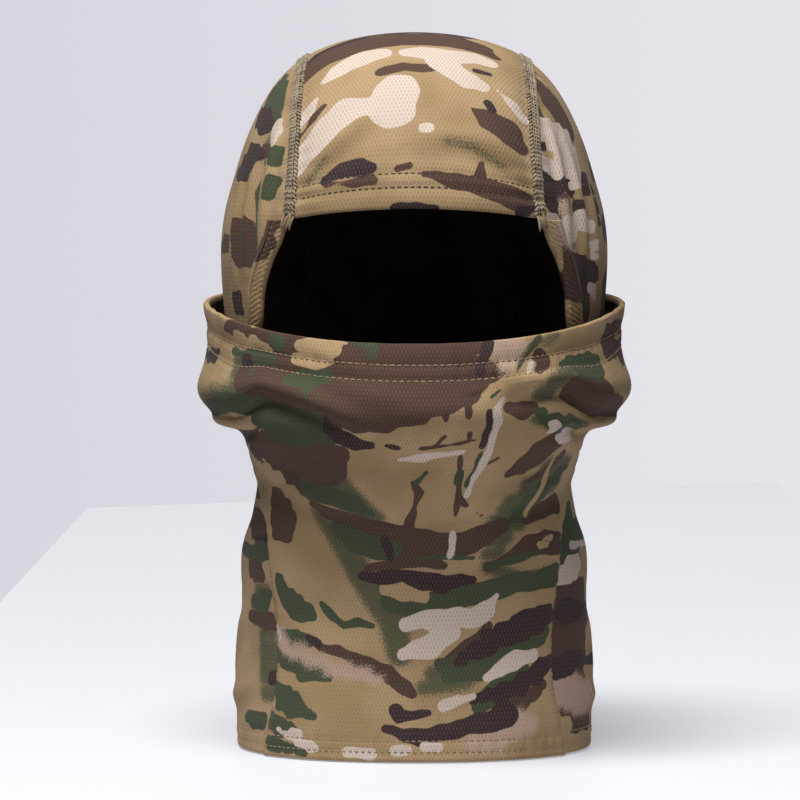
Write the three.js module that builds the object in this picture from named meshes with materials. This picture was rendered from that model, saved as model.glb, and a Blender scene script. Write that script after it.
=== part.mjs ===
/**
 * Pull-down face mask and hood (balaclava), modelled as the flat panels, turned hems, raised
 * seams and rows of thread that it is sewn from.
 *
 * Units are millimetres. +Z is up, the face looks along -Y, and the wearer's left is +X. The
 * part stands on its bottom hem with the origin under the middle of its bounding box.
 *
 * Two smooth forms carry every piece. The hood form is the head and neck that the cloth lies
 * on. The mask form is the same body with the loose front and the ear pockets added. A piece
 * is a patch of one form, swept as a thin bent sheet between two offsets from it.
 */
import * as THREE from 'three';

// Overall sizes.
const HEIGHT = 300;
const HEAD_WIDTH = 160;
const HEAD_LENGTH = 204;

// Cloth, thread and the clearances between layers.
const CLOTH = 1.2;
const LAYER_GAP = 0.5;
const LAP_GAP = 0.9;
const THREAD = 0.6;
const THREAD_WIDTH = 1.0;
const SEAM_WIDTH = 5.5;
const SEAM_RAISE = 1.0;

// Heights of the features.
const NECK_HEIGHT = 118;
const RIM_FRONT_HEIGHT = 173;
const RIM_REAR_HEIGHT = 191;
const BROW_HEIGHT = 227;
const BROW_DROP = 4;
const BROW_CORNER_HEIGHT = BROW_HEIGHT - BROW_DROP;
const OPENING_FOOT_HEIGHT = 145;
const CROWN_CENTRE_HEIGHT = 200;

// Half width of the crown strip at the top, what it gains towards the brow, and how late it does.
const CROWN_HALF_WIDTH = 46;
const CROWN_FLARE = 5.6;
const FLARE_POWER = 1.5;

// Turned hems and their stitch rows, measured from the folded edge.
const BROW_HEM = 18;
const BROW_STITCHES = [8.7, 14];
const RIM_HEM = 20;
const RIM_STITCHES = [10, 17];
const BOTTOM_HEM = 12;
const BOTTOM_STITCHES = [4.5, 9.5];
const OPENING_HEM = 8;
const OPENING_STITCH = 5.5;
const SEAM_LAP = 3;

// The loose rim's hem ends before the ears, at this share of the way round to the seams.
const RIM_REACH = 5 / 6;

// Folded thread tails at the brow ends of the crown seams.
const TAIL_LENGTH = 5;
const TAIL_RADIUS = 1.1;
const TAIL_GAP = 0.3;

// How far layers stand off the forms, and the room left at cut edges.
const EDGE_CLEAR = 0.6;
const EDGE_ROOM = 2 * LAYER_GAP;
const BINDING = CLOTH;
const RAISED = CLOTH + LAYER_GAP;
const SEAM_LIFT = CLOTH + LAP_GAP;
const RIM_END_LIFT = CLOTH + LAYER_GAP;

// Degrees over which the mask's looseness ends before its seams, and the bottom ring's lap.
const WING_TAPER = 34;
const LAP_BLEND = 6;

// Shares of the way from neck to rim over which the mask turns rounder and its rim stands off.
const ROUNDER_SPAN = [0, 0.6];
const RIM_LIFT_SPAN = [0.1, 0.6];

// Corner roundness of the horizontal sections: 2 is an ellipse.
const HOOD_POWER = 2.2;
const MASK_POWER = 2.05;

// Head and neck: height, half width, front depth and back depth, as shares of the overall sizes.
const HOOD_FORM = [
  [0.0, 0.92, 0.755, 0.735],
  [0.067, 0.93, 0.745, 0.725],
  [0.167, 0.9, 0.725, 0.69],
  [0.267, 0.885, 0.77, 0.66],
  [0.333, 0.835, 0.86, 0.66],
  [0.38, 0.815, 0.91, 0.69],
  [0.45, 0.87, 0.94, 0.78],
  [0.5, 0.92, 0.95, 0.88],
  [0.567, 0.965, 0.955, 0.985],
  [0.633, 0.995, 0.955, 1.03],
  [0.7, 1.005, 0.955, 1.045],
  [0.75, 0.985, 0.96, 1.04],
  [0.8, 0.935, 0.95, 1.015],
  [0.85, 0.875, 0.91, 0.96],
  [0.9, 0.79, 0.82, 0.86],
  [0.937, 0.695, 0.71, 0.735],
  [0.967, 0.56, 0.555, 0.575],
  [0.987, 0.38, 0.365, 0.385],
  [1.0, 0.0, 0.0, 0.0],
];

// Looseness of the mask over the hood form: share of the way from neck to rim, sideways at the
// ears, and forwards over nose and chin.
const MASK_BULGE = [
  [-0.1, 0, 0],
  [0.05, 1, 4],
  [0.16, 4.5, 7],
  [0.25, 9, 9],
  [0.33, 12.5, 12],
  [0.44, 12, 17],
  [0.58, 9, 21],
  [0.74, 6, 17],
  [0.88, 4.5, 14],
  [1.0, 5, 12],
];

// Angle of the seam between mask and side panel, from straight ahead, up to the neck.
const NECK_SEAM_ANGLE = [
  [0, 55.7],
  [0.11, 51.5],
  [0.27, 48],
  [0.53, 50.2],
  [0.81, 59],
  [0.915, 68.5],
  [1, 80],
];

// The same seam from the neck up behind the ear to the rim's rear end.
const WING_SEAM_ANGLE = [
  [0, 80],
  [0.23, 92],
  [0.44, 99],
  [0.71, 108],
  [1, 116],
];

// Angle of the face opening's edge, from the neck up to the brow corner.
const OPENING_ANGLE = [
  [0, 80],
  [0.16, 71],
  [0.305, 62.9],
  [0.59, 51.5],
  [0.714, 49],
  [0.838, 44.6],
  [0.914, 41],
  [1, 39],
];

// How finely each direction is divided.
const CROWN_COLUMNS = 8;
const CROWN_ARC_ROWS = 22;
const CROWN_BACK_ROWS = 12;
const SIDE_COLUMNS = 12;
const SIDE_BODY_ROWS = 18;
const SIDE_TOP_ROWS = 10;
const OPENING_ROWS = 9;
const MASK_COLUMNS = 24;
const MASK_NECK_ROWS = 9;
const MASK_FACE_ROWS = 11;
const RIM_COLUMNS = 20;
const BROW_HEM_STEPS = 1;
const RIM_HEM_STEPS = 5;
const RING_STATIONS = 48;
const TAIL_ROUNDS = 3;
const TAIL_SIDES = 8;
const SEAM_PASSES = 6;
const SEARCH_PASSES = 40;

const { clamp, lerp, smoothstep, degToRad } = THREE.MathUtils;

/** Smooth curve through [at, value] points, held level beyond its ends. */
function throughPoints(points) {
  const slopes = points.map((point, i) => {
    const before = points[Math.max(i - 1, 0)];
    const after = points[Math.min(i + 1, points.length - 1)];
    return (after[1] - before[1]) / (after[0] - before[0]);
  });
  return (at) => {
    const x = clamp(at, points[0][0], points[points.length - 1][0]);
    let i = 0;
    while (i < points.length - 2 && points[i + 1][0] < x) i += 1;
    const width = points[i + 1][0] - points[i][0];
    const t = (x - points[i][0]) / width;
    const rise = (3 - 2 * t) * t * t;
    const start = points[i][1] * (1 - rise) + points[i + 1][1] * rise;
    const bend = (slopes[i] * (1 - t) - slopes[i + 1] * t) * t * (1 - t) * width;
    return start + bend;
  };
}

/** One column of a table as a curve; squares keep the crown round where it closes. */
const column = (rows, index) => throughPoints(rows.map((row) => [row[0], row[index] ** 2]));
const widthSquare = column(HOOD_FORM, 1);
const frontSquare = column(HOOD_FORM, 2);
const backSquare = column(HOOD_FORM, 3);
const root = (value) => Math.sqrt(Math.max(value, 0));

const halfWidth = (z) => (HEAD_WIDTH / 2) * root(widthSquare(z / HEIGHT));
const frontDepth = (z) => (HEAD_LENGTH / 2) * root(frontSquare(z / HEIGHT));
const backDepth = (z) => (HEAD_LENGTH / 2) * root(backSquare(z / HEIGHT));

const sideBulge = throughPoints(MASK_BULGE.map((row) => [row[0], row[1]]));
const frontBulge = throughPoints(MASK_BULGE.map((row) => [row[0], row[2]]));
const neckSeamAngle = throughPoints(NECK_SEAM_ANGLE);
const wingSeamAngle = throughPoints(WING_SEAM_ANGLE);
const openingAngleShare = throughPoints(OPENING_ANGLE);

const signedPower = (value, power) => Math.sign(value) * Math.abs(value) ** power;

/** Point of a horizontal section at an angle from straight ahead, in degrees. */
function sectionPoint(width, front, back, power, angle, z) {
  const turn = degToRad(angle);
  const across = signedPower(Math.sin(turn), 2 / power);
  const along = signedPower(Math.cos(turn), 2 / power);
  return new THREE.Vector3(width * across, -(along > 0 ? front : back) * along, z);
}

const hoodForm = (angle, z) =>
  sectionPoint(halfWidth(z), frontDepth(z), backDepth(z), HOOD_POWER, angle, z);

/** Angle, from straight ahead, of the seam that joins the mask to the side panel. */
function seamAngle(z) {
  if (z < NECK_HEIGHT) return neckSeamAngle(z / NECK_HEIGHT);
  return wingSeamAngle((z - NECK_HEIGHT) / (RIM_REAR_HEIGHT - NECK_HEIGHT));
}

/** Angle of the face opening's edge at a height between the neck and the brow corner. */
const openingAngle = (z) =>
  openingAngleShare((z - NECK_HEIGHT) / (BROW_CORNER_HEIGHT - NECK_HEIGHT));

/** Half width of the crown strip at an elevation angle about the head's centre, in radians. */
function crownHalfWidth(elevation) {
  const fromTop = clamp(1 - elevation / (Math.PI / 2), 0, 1);
  return CROWN_HALF_WIDTH + CROWN_FLARE * fromTop ** FLARE_POWER;
}

/** Angle at which a horizontal section meets the crown seam, in front or behind. */
function crownSeamAngle(z, behind) {
  let seam = CROWN_HALF_WIDTH;
  let angle = 0;
  for (let pass = 0; pass < SEAM_PASSES; pass += 1) {
    const share = clamp(seam / halfWidth(z), 0, 1);
    angle = THREE.MathUtils.radToDeg(Math.asin(share ** (HOOD_POWER / 2)));
    const y = hoodForm(angle, z).y;
    seam = behind ? CROWN_HALF_WIDTH : crownHalfWidth(Math.atan2(z - CROWN_CENTRE_HEIGHT, -y));
  }
  return behind ? 180 - angle : angle;
}

/** Distance of a section's outline in front of or behind the axis, at a sideways place. */
function depthAt(x, z, behind) {
  const share = clamp(Math.abs(x) / Math.max(halfWidth(z), 1e-6), 0, 1);
  const depth = behind ? backDepth(z) : frontDepth(z);
  return depth * (1 - share ** HOOD_POWER) ** (1 / HOOD_POWER);
}

const browEdgeHeight = (x) => BROW_HEIGHT - BROW_DROP * (x / (CROWN_HALF_WIDTH + CROWN_FLARE)) ** 2;

/** Where the ray from the head's centre at this elevation leaves the hood form. */
function crownRay(x, elevation) {
  let near = 0;
  let far = 2 * HEIGHT;
  for (let pass = 0; pass < SEARCH_PASSES; pass += 1) {
    const reach = (near + far) / 2;
    const z = CROWN_CENTRE_HEIGHT + reach * Math.sin(elevation);
    const y = -reach * Math.cos(elevation);
    const inside = z < HEIGHT && Math.abs(x) < halfWidth(z) && Math.abs(y) < depthAt(x, z, y > 0);
    if (inside) near = reach;
    else far = reach;
  }
  const z = CROWN_CENTRE_HEIGHT + near * Math.sin(elevation);
  return new THREE.Vector3(x, -near * Math.cos(elevation), z);
}

/** Elevation of the brow edge, and the length of the arc from there to the back of the head. */
function browElevation(x) {
  const z = browEdgeHeight(x);
  return Math.atan2(z - CROWN_CENTRE_HEIGHT, depthAt(x, z, false));
}
const CROWN_RADIUS = HEAD_LENGTH / 2;
const CROWN_ARC = (Math.PI - browElevation(0)) * CROWN_RADIUS;

/** Crown strip: share of its half width, and distance from the brow over the top and down. */
function crownForm(share, distance) {
  if (distance > CROWN_ARC) {
    const z = CROWN_CENTRE_HEIGHT - (distance - CROWN_ARC);
    const x = share * CROWN_HALF_WIDTH;
    return new THREE.Vector3(x, depthAt(x, z, true), z);
  }
  const corner = browElevation(CROWN_HALF_WIDTH + CROWN_FLARE);
  const start = browElevation(share * crownHalfWidth(corner));
  const elevation = lerp(start, Math.PI, distance / CROWN_ARC);
  return crownRay(share * crownHalfWidth(elevation), elevation);
}

/** Height of the mask's rim at an angle from straight ahead. */
function rimHeight(angle) {
  const rearAngle = wingSeamAngle(1);
  const share = Math.sin((Math.PI / 2) * clamp(Math.abs(angle) / rearAngle, 0, 1));
  return lerp(RIM_FRONT_HEIGHT, RIM_REAR_HEIGHT, share * share);
}

/** Mask form: sideways share of the way to its seam, and the height that it has at the rear. */
function maskForm(share, rearHeight) {
  const edge = seamAngle(rearHeight);
  const angle = share * edge;
  const z = (rearHeight / RIM_REAR_HEIGHT) * rimHeight(angle);
  const up = (rearHeight - NECK_HEIGHT) / (RIM_REAR_HEIGHT - NECK_HEIGHT);
  const hood = patchNormal(hoodForm, angle, z);
  const rounder = lerp(HOOD_POWER, MASK_POWER, smoothstep(up, ...ROUNDER_SPAN));
  const unit = sectionPoint(1, 1, 1, rounder, angle, 0);
  const taper = 1 - smoothstep(Math.abs(angle), edge - WING_TAPER, edge);
  const lift = SEAM_LIFT + RIM_END_LIFT * smoothstep(up, ...RIM_LIFT_SPAN);
  const bulge = new THREE.Vector3(sideBulge(up) * unit.x, frontBulge(up) * unit.y, 0);
  bulge.multiplyScalar(taper);
  return hood.point.addScaledVector(hood.normal, lift).add(bulge);
}

/** Point and outward normal of a form at two parameters. */
function patchNormal(form, u, v) {
  const step = 0.01;
  const point = form(u, v);
  const alongU = form(u + step, v).sub(form(u - step, v));
  const alongV = form(u, v + step).sub(form(u, v - step));
  const normal = alongU.cross(alongV).normalize();
  const outward = new THREE.Vector3(point.x, point.y, Math.max(point.z - CROWN_CENTRE_HEIGHT, 0));
  if (normal.dot(outward) < 0) normal.negate();
  return { point, normal };
}

/** Point of a form raised by an offset along its outward normal. */
function raised(form, u, v, offset) {
  const at = patchNormal(form, u, v);
  return at.point.addScaledVector(at.normal, offset);
}

const stationsBetween = (from, to, count) =>
  Array.from({ length: count + 1 }, (_, i) => lerp(from, to, i / count));

/**
 * Closed solid swept along stations. Its section is a bent sheet: inner and outer are two equal
 * lists of [across, offset], and place(station, across, offset) puts one of them in space.
 */
function sweptSheet(stations, inner, outer, place, ring = false) {
  const loop = [...inner, ...[...outer].reverse()];
  const size = loop.length;
  const positions = [];
  for (const station of stations) {
    for (const [across, offset] of loop) positions.push(...place(station, across, offset).toArray());
  }
  const faces = [];
  const quad = (a, b, c, d) => faces.push(a, b, c, a, c, d);
  const spans = ring ? stations.length : stations.length - 1;
  for (let i = 0; i < spans; i += 1) {
    const here = i * size;
    const next = ((i + 1) % stations.length) * size;
    for (let k = 0; k < size; k += 1) {
      const after = (k + 1) % size;
      quad(here + k, here + after, next + after, next + k);
    }
  }
  if (!ring) {
    const last = (stations.length - 1) * size;
    for (let k = 0; k < inner.length - 1; k += 1) {
      const facing = size - 1 - k;
      quad(k, facing, facing - 1, k + 1);
      quad(last + k, last + k + 1, last + facing - 1, last + facing);
    }
  }
  return closedGeometry(positions, faces);
}

/** Indexed geometry whose faces point out: it is turned over if its volume is negative. */
function closedGeometry(positions, faces) {
  const corner = (i) => new THREE.Vector3().fromArray(positions, 3 * i);
  let volume = 0;
  for (let i = 0; i < faces.length; i += 3) {
    const [a, b, c] = [corner(faces[i]), corner(faces[i + 1]), corner(faces[i + 2])];
    volume += a.dot(b.cross(c));
  }
  if (volume < 0) faces.reverse();
  const geometry = new THREE.BufferGeometry();
  geometry.setAttribute('position', new THREE.Float32BufferAttribute(positions, 3));
  geometry.setIndex(faces);
  geometry.computeVertexNormals();
  return geometry;
}

/** Section of a plain sheet: across runs over the given places, between two offsets. */
const flatSection = (places, low, high) => [
  places.map((across) => [across, low]),
  places.map((across) => [across, high]),
];

const cloth = (color, roughness = 0.9) =>
  new THREE.MeshStandardMaterial({ color, roughness, metalness: 0 });
const materials = {
  crown: cloth(0x9c8762),
  sideLeft: cloth(0x6d6247),
  sideRight: cloth(0x74664e),
  mask: cloth(0x857350),
  hem: cloth(0x4f463a),
  seam: cloth(0x77705a),
  thread: cloth(0x8d7f5e, 0.8),
  darkThread: cloth(0x3a2f2a, 0.8),
};

const model = new THREE.Group();
function addPart(name, geometry, material) {
  const mesh = new THREE.Mesh(geometry, material);
  mesh.name = name;
  model.add(mesh);
}

const sides = [
  { name: 'left', sign: 1, material: materials.sideLeft },
  { name: 'right', sign: -1, material: materials.sideRight },
];

// ---- Crown panel: one strip from the brow over the head and down the back ----
const CROWN_LENGTH = CROWN_ARC + CROWN_CENTRE_HEIGHT;
const crownRows = [
  ...stationsBetween(EDGE_CLEAR, CROWN_ARC, CROWN_ARC_ROWS),
  ...stationsBetween(CROWN_ARC, CROWN_LENGTH - CLOTH - EDGE_CLEAR, CROWN_BACK_ROWS).slice(1),
];
const crownShare = 1 - LAYER_GAP / 2 / CROWN_HALF_WIDTH;
const crownColumns = stationsBetween(-crownShare, crownShare, CROWN_COLUMNS);
const onCrown = (row, share, offset) => raised(crownForm, share, row, offset);
addPart(
  'crown_panel',
  sweptSheet(crownRows, ...flatSection(crownColumns, 0, CLOTH), onCrown),
  materials.crown,
);

// ---- Brow: the edge turned under, held by two rows of stitches ----
/** Section of an edge turned under: a band of this depth below, and the fold at the edge. */
function turnedUnder(depth, steps) {
  const places = stationsBetween(depth, 0, steps);
  const band = (offset) => places.slice(0, -1).map((across) => [across, offset]);
  const under = -CLOTH - LAYER_GAP;
  return [
    [...band(under), [-CLOTH, under], [-CLOTH, CLOTH]],
    [...band(-LAYER_GAP), [0, -LAYER_GAP], [0, CLOTH]],
  ];
}
const acrossCrown = (share, distance, offset) => raised(crownForm, share, distance, offset);
const browSection = turnedUnder(BROW_HEM, BROW_HEM_STEPS);
addPart('brow_hem', sweptSheet(crownColumns, ...browSection, acrossCrown), materials.hem);

const threadSection = (at) =>
  flatSection([at - THREAD_WIDTH / 2, at + THREAD_WIDTH / 2], RAISED, RAISED + THREAD);
const seamShare = SEAM_WIDTH / 2 / CROWN_HALF_WIDTH;
const browSpan = crownColumns.map((share) => share * (crownShare - seamShare));
['lower', 'upper'].forEach((row, i) => {
  const section = threadSection(BROW_STITCHES[i]);
  addPart(`brow_stitch_${row}`, sweptSheet(browSpan, ...section, acrossCrown), materials.darkThread);
});

// ---- Side panels: from the face opening round to the crown seam behind ----
/** Angles of a side panel's front and rear edges at a height. */
function sidePanelSpan(z) {
  const clear = THREE.MathUtils.radToDeg(LAYER_GAP / 2 / halfWidth(z));
  const lap = THREE.MathUtils.radToDeg(SEAM_LAP / halfWidth(z));
  const behind = crownSeamAngle(z, true) - clear;
  if (z < NECK_HEIGHT) return [seamAngle(z) - lap, behind];
  if (z < BROW_CORNER_HEIGHT) {
    return [openingAngle(z) - lap * (1 - smoothstep(z, NECK_HEIGHT, NECK_HEIGHT + BOTTOM_HEM)), behind];
  }
  return [Math.max(crownSeamAngle(z, false) + clear, openingAngle(BROW_CORNER_HEIGHT)), behind];
}

/** Height at which the head is as wide as the crown strip, so a side panel ends. */
function sidePanelTop() {
  let low = BROW_HEIGHT;
  let high = HEIGHT;
  for (let pass = 0; pass < SEARCH_PASSES; pass += 1) {
    const middle = (low + high) / 2;
    if (halfWidth(middle) > CROWN_HALF_WIDTH + 2 * LAYER_GAP) low = middle;
    else high = middle;
  }
  return low;
}
const SIDE_BREAK = BROW_HEIGHT + BROW_HEM;
const sideTop = sidePanelTop();
const sideRows = [
  ...stationsBetween(CLOTH + EDGE_CLEAR, SIDE_BREAK, SIDE_BODY_ROWS),
  ...stationsBetween(0, Math.PI / 2, SIDE_TOP_ROWS)
    .slice(1)
    .map((turn) => lerp(SIDE_BREAK, sideTop, Math.sin(turn))),
];
const sideColumns = stationsBetween(0, 1, SIDE_COLUMNS);
for (const { name, sign, material } of sides) {
  const onSide = (z, share, offset) => {
    const [front, behind] = sidePanelSpan(z);
    return raised(hoodForm, sign * lerp(front, behind, share), z, offset);
  };
  const section = flatSection(sideColumns, 0, CLOTH);
  addPart(`side_panel_${name}`, sweptSheet(sideRows, ...section, onSide), material);
}

// ---- Crown seams: raised braids over both edges, with a folded thread tail at the brow ----
const seamRows = crownRows.filter((row) => row < CROWN_LENGTH - BOTTOM_HEM);
seamRows[0] = THREAD_WIDTH;
seamRows[seamRows.length - 1] = CROWN_LENGTH - BOTTOM_HEM - EDGE_CLEAR;
for (const { name, sign } of sides) {
  const section = flatSection([1 - seamShare, 1 + seamShare], RAISED, RAISED + SEAM_RAISE);
  const onSeam = (row, share, offset) => raised(crownForm, sign * share, row, offset);
  addPart(`crown_seam_${name}`, sweptSheet(seamRows, ...section, onSeam), materials.seam);

  const tail = new THREE.CapsuleGeometry(
    TAIL_RADIUS,
    TAIL_LENGTH - 2 * TAIL_RADIUS,
    TAIL_ROUNDS,
    TAIL_SIDES,
  );
  tail.rotateX(Math.PI / 2);
  const lift = RAISED + TAIL_RADIUS;
  const seat = raised(crownForm, sign, THREAD_WIDTH - TAIL_GAP - TAIL_LENGTH / 2, lift);
  tail.translate(seat.x, seat.y, seat.z);
  addPart(`brow_seam_tail_${name}`, tail, materials.thread);
}

// ---- Face opening: the side panels' front edges, bound by a rolled hem with one stitch row ----
const openingRows = stationsBetween(
  OPENING_FOOT_HEIGHT,
  BROW_CORNER_HEIGHT - TAIL_LENGTH - EDGE_CLEAR,
  OPENING_ROWS,
);
for (const { name, sign } of sides) {
  const fromEdge = (z, distance, offset) => {
    const turn = THREE.MathUtils.radToDeg(distance / halfWidth(z));
    return raised(hoodForm, sign * (openingAngle(z) + turn), z, offset);
  };
  const inner = [[OPENING_HEM, RAISED], [-EDGE_ROOM, RAISED], [-EDGE_ROOM, 0]];
  const edge = -EDGE_ROOM - BINDING;
  const outer = [[OPENING_HEM, RAISED + BINDING], [edge, RAISED + BINDING], [edge, 0]];
  addPart(`opening_hem_${name}`, sweptSheet(openingRows, inner, outer, fromEdge), materials.hem);

  const base = RAISED + BINDING + LAYER_GAP;
  const row = [OPENING_STITCH - THREAD_WIDTH / 2, OPENING_STITCH + THREAD_WIDTH / 2];
  const stitch = sweptSheet(openingRows, ...flatSection(row, base, base + THREAD), fromEdge);
  addPart(`opening_stitch_${name}`, stitch, materials.thread);
}

// ---- Mask front panel, from the bottom hem up over chin and nose and round both ears ----
const maskRows = [
  ...stationsBetween(CLOTH + EDGE_CLEAR, NECK_HEIGHT, MASK_NECK_ROWS),
  ...stationsBetween(NECK_HEIGHT, RIM_REAR_HEIGHT - EDGE_CLEAR, MASK_FACE_ROWS).slice(1),
];
const maskColumns = stationsBetween(-1, 1, MASK_COLUMNS);
const onMask = (row, share, offset) => raised(maskForm, share, row, offset);
addPart(
  'mask_front_panel',
  sweptSheet(maskRows, ...flatSection(maskColumns, 0, CLOTH), onMask),
  materials.mask,
);

// ---- Mask rim: its own turned hem and two rows of stitches, all pulled down together ----
const fromRim = (share, distance, offset) =>
  raised(maskForm, share, RIM_REAR_HEIGHT - distance, offset);
const rimSpan = stationsBetween(-RIM_REACH, RIM_REACH, RIM_COLUMNS);
const rimSection = turnedUnder(RIM_HEM, RIM_HEM_STEPS);
addPart('mask_top_hem', sweptSheet(rimSpan, ...rimSection, fromRim), materials.hem);

['upper', 'lower'].forEach((row, i) => {
  const stitch = sweptSheet(rimSpan, ...threadSection(RIM_STITCHES[i]), fromRim);
  addPart(`mask_top_stitch_${row}`, stitch, materials.thread);
});

// ---- Mask seams: braids along the panel's two sides, from the bottom hem to behind the ears ----
const maskSeamRows = maskRows.filter((row) => row > BOTTOM_HEM);
maskSeamRows[0] = BOTTOM_HEM + EDGE_CLEAR;
for (const { name, sign } of sides) {
  const onEdge = (row, distance, offset) => {
    const turn = THREE.MathUtils.radToDeg(distance / halfWidth(row)) / seamAngle(row);
    return raised(maskForm, sign * (1 - turn), row, offset);
  };
  const section = flatSection([0, SEAM_WIDTH], RAISED, RAISED + SEAM_RAISE);
  addPart(`mask_seam_${name}`, sweptSheet(maskSeamRows, ...section, onEdge), materials.seam);
}

// ---- Bottom hem: one turned ring under every panel, with two rows of stitches round it ----
const ringAngles = stationsBetween(0, 360, RING_STATIONS).slice(0, -1);
const signedAngle = (angle) => (angle > 180 ? angle - 360 : angle);
/** 1 where the ring passes outside the mask panel, and 0 where it lies on the side panels. */
function overMask(angle, z) {
  const beyond = Math.abs(signedAngle(angle)) - seamAngle(z);
  return 1 - smoothstep(beyond, 0, LAP_BLEND);
}
/** Point of the bottom ring, offset level so that the part stands flat. */
function onRing(angle, z, offset) {
  const level = Math.max(z, 0);
  const out = hoodForm(angle, level);
  const ahead = hoodForm(angle + 1, level).sub(hoodForm(angle - 1, level));
  const outward = new THREE.Vector3(ahead.y, -ahead.x, 0).normalize();
  if (outward.dot(out) < 0) outward.negate();
  return out.addScaledVector(outward, offset).setZ(z);
}
const hemRing = (angle, height, offset) => {
  const lap = offset > 0 ? SEAM_LIFT * overMask(angle, 0) : 0;
  return onRing(angle, height, offset + lap);
};
const ringInner = [[BOTTOM_HEM, -CLOTH - LAYER_GAP], [0, -CLOTH - LAYER_GAP], [0, CLOTH]];
const ringOuter = [[BOTTOM_HEM, -LAYER_GAP], [CLOTH, -LAYER_GAP], [CLOTH, CLOTH]];
addPart('bottom_hem', sweptSheet(ringAngles, ringInner, ringOuter, hemRing, true), materials.hem);

['lower', 'upper'].forEach((row, i) => {
  const section = threadSection(BOTTOM_STITCHES[i] + CLOTH);
  addPart(
    `bottom_stitch_${row}`,
    sweptSheet(ringAngles, ...section, hemRing, true),
    materials.thread,
  );
});

// The part stands on the floor plane with its bounding box centred over the origin.
const box = new THREE.Box3().setFromObject(model);
model.position.y = -(box.min.y + box.max.y) / 2;

export default model;
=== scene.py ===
"""Looks of the pull-down face mask: knit panels, turned hems, braided seams and rows of stitches.

Every piece lies on one of two smooth forms, the hood and the loose mask over it, which are worked
out from the frame's own box. Lengths are in millimetres until a mesh is made, and then in metres.
+Z is up, the face looks along -Y and the wearer's left is +X.
"""

import logging
import math
from dataclasses import dataclass, field
from enum import Enum
from typing import Callable, Iterable, Sequence

import bpy
import numpy as np
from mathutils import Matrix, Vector


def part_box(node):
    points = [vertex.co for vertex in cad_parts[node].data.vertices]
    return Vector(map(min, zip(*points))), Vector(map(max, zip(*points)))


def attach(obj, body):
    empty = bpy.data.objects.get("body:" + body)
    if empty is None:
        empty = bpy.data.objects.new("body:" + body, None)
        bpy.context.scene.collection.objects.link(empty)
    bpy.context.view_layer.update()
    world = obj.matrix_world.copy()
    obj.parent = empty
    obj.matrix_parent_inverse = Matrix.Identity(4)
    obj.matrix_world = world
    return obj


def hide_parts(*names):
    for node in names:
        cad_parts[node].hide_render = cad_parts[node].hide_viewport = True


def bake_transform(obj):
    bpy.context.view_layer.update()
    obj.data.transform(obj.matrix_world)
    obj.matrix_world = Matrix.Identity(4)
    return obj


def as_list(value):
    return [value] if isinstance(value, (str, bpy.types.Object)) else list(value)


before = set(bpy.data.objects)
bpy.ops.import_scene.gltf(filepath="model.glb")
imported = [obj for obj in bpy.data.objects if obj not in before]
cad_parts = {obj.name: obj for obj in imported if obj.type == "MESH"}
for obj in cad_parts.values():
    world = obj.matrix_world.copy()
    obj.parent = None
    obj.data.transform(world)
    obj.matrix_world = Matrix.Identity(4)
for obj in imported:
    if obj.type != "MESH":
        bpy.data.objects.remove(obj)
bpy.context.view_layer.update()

LOG = logging.getLogger("face_mask")
MM = 0.001
HOOD_BODY = "hood"
AXIS_TOP = 200.0
BAND_WALL = 0.7
BOTTOM_ROWS = (4.5, 9.5)

Array = np.ndarray
Point = tuple[float, float]
Spot = tuple[float, float, float]


class Side(Enum):
    """The wearer's left is +X and the right is -X."""

    LEFT = 1
    RIGHT = -1

    @property
    def word(self) -> str:
        """Lower-case name used in piece names."""
        return self.name.lower()


class Ink(Enum):
    """The printed colours, each with its own attribute on a panel."""

    SHADE = "ink_shade"
    BROWN = "ink_brown"
    GREEN = "ink_green"
    ROSE = "ink_rose"
    TAN = "ink_tan"
    DARK = "ink_dark"
    CREAM = "ink_cream"


# -------------------- small helpers


def smooth(value: Array, low: float, high: float) -> Array:
    """Smooth step from 0 at low to 1 at high.

    Args:
        value: Where to read the step.
        low: Value where the step starts.
        high: Value where the step ends.

    Returns:
        The step, between 0 and 1.
    """
    t = np.clip((value - low) / (high - low), 0.0, 1.0)
    return t * t * (3.0 - 2.0 * t)


def bell(distance: Array, width: float) -> Array:
    """Bell curve of a distance, 1 at the middle."""
    return np.exp(-((distance / width) ** 2))


def through(points: Sequence[Point]) -> Callable[[Array], Array]:
    """Smooth curve through [at, value] points, held level beyond its ends.

    Args:
        points: The points, in rising order.

    Returns:
        A function of an array of places.
    """
    at = np.array([p[0] for p in points], float)
    value = np.array([p[1] for p in points], float)
    before = np.r_[0, np.arange(len(at) - 1)]
    after = np.r_[np.arange(1, len(at)), len(at) - 1]
    slope = (value[after] - value[before]) / (at[after] - at[before])

    def curve(x: Array) -> Array:
        x = np.clip(x, at[0], at[-1])
        i = np.clip(np.searchsorted(at, x, side="left") - 1, 0, len(at) - 2)
        width = at[i + 1] - at[i]
        t = (x - at[i]) / width
        rise = (3.0 - 2.0 * t) * t * t
        bend = (slope[i] * (1.0 - t) - slope[i + 1] * t) * t * (1.0 - t) * width
        return value[i] * (1.0 - rise) + value[i + 1] * rise + bend

    return curve


def linear(red: int, green: int, blue: int) -> tuple[float, float, float, float]:
    """Display colour, 0 to 255, as the linear colour a shader reads."""
    channels = []
    for level in (red, green, blue):
        share = level / 255.0
        low = share <= 0.04045
        channels.append(share / 12.92 if low else ((share + 0.055) / 1.055) ** 2.4)
    return (*channels, 1.0)


def unit(vectors: Array) -> Array:
    """Vectors at length 1."""
    return vectors / np.maximum(np.linalg.norm(vectors, axis=-1, keepdims=True), 1e-9)


def from_axis(points: Array) -> Array:
    """Vectors to points from the head's axis, which ends at the middle of the crown."""
    centre = points * np.array([0.0, 0.0, 1.0])
    centre[..., 2] = np.clip(centre[..., 2], 0.0, AXIS_TOP)
    return points - centre


# -------------------- the two forms


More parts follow.
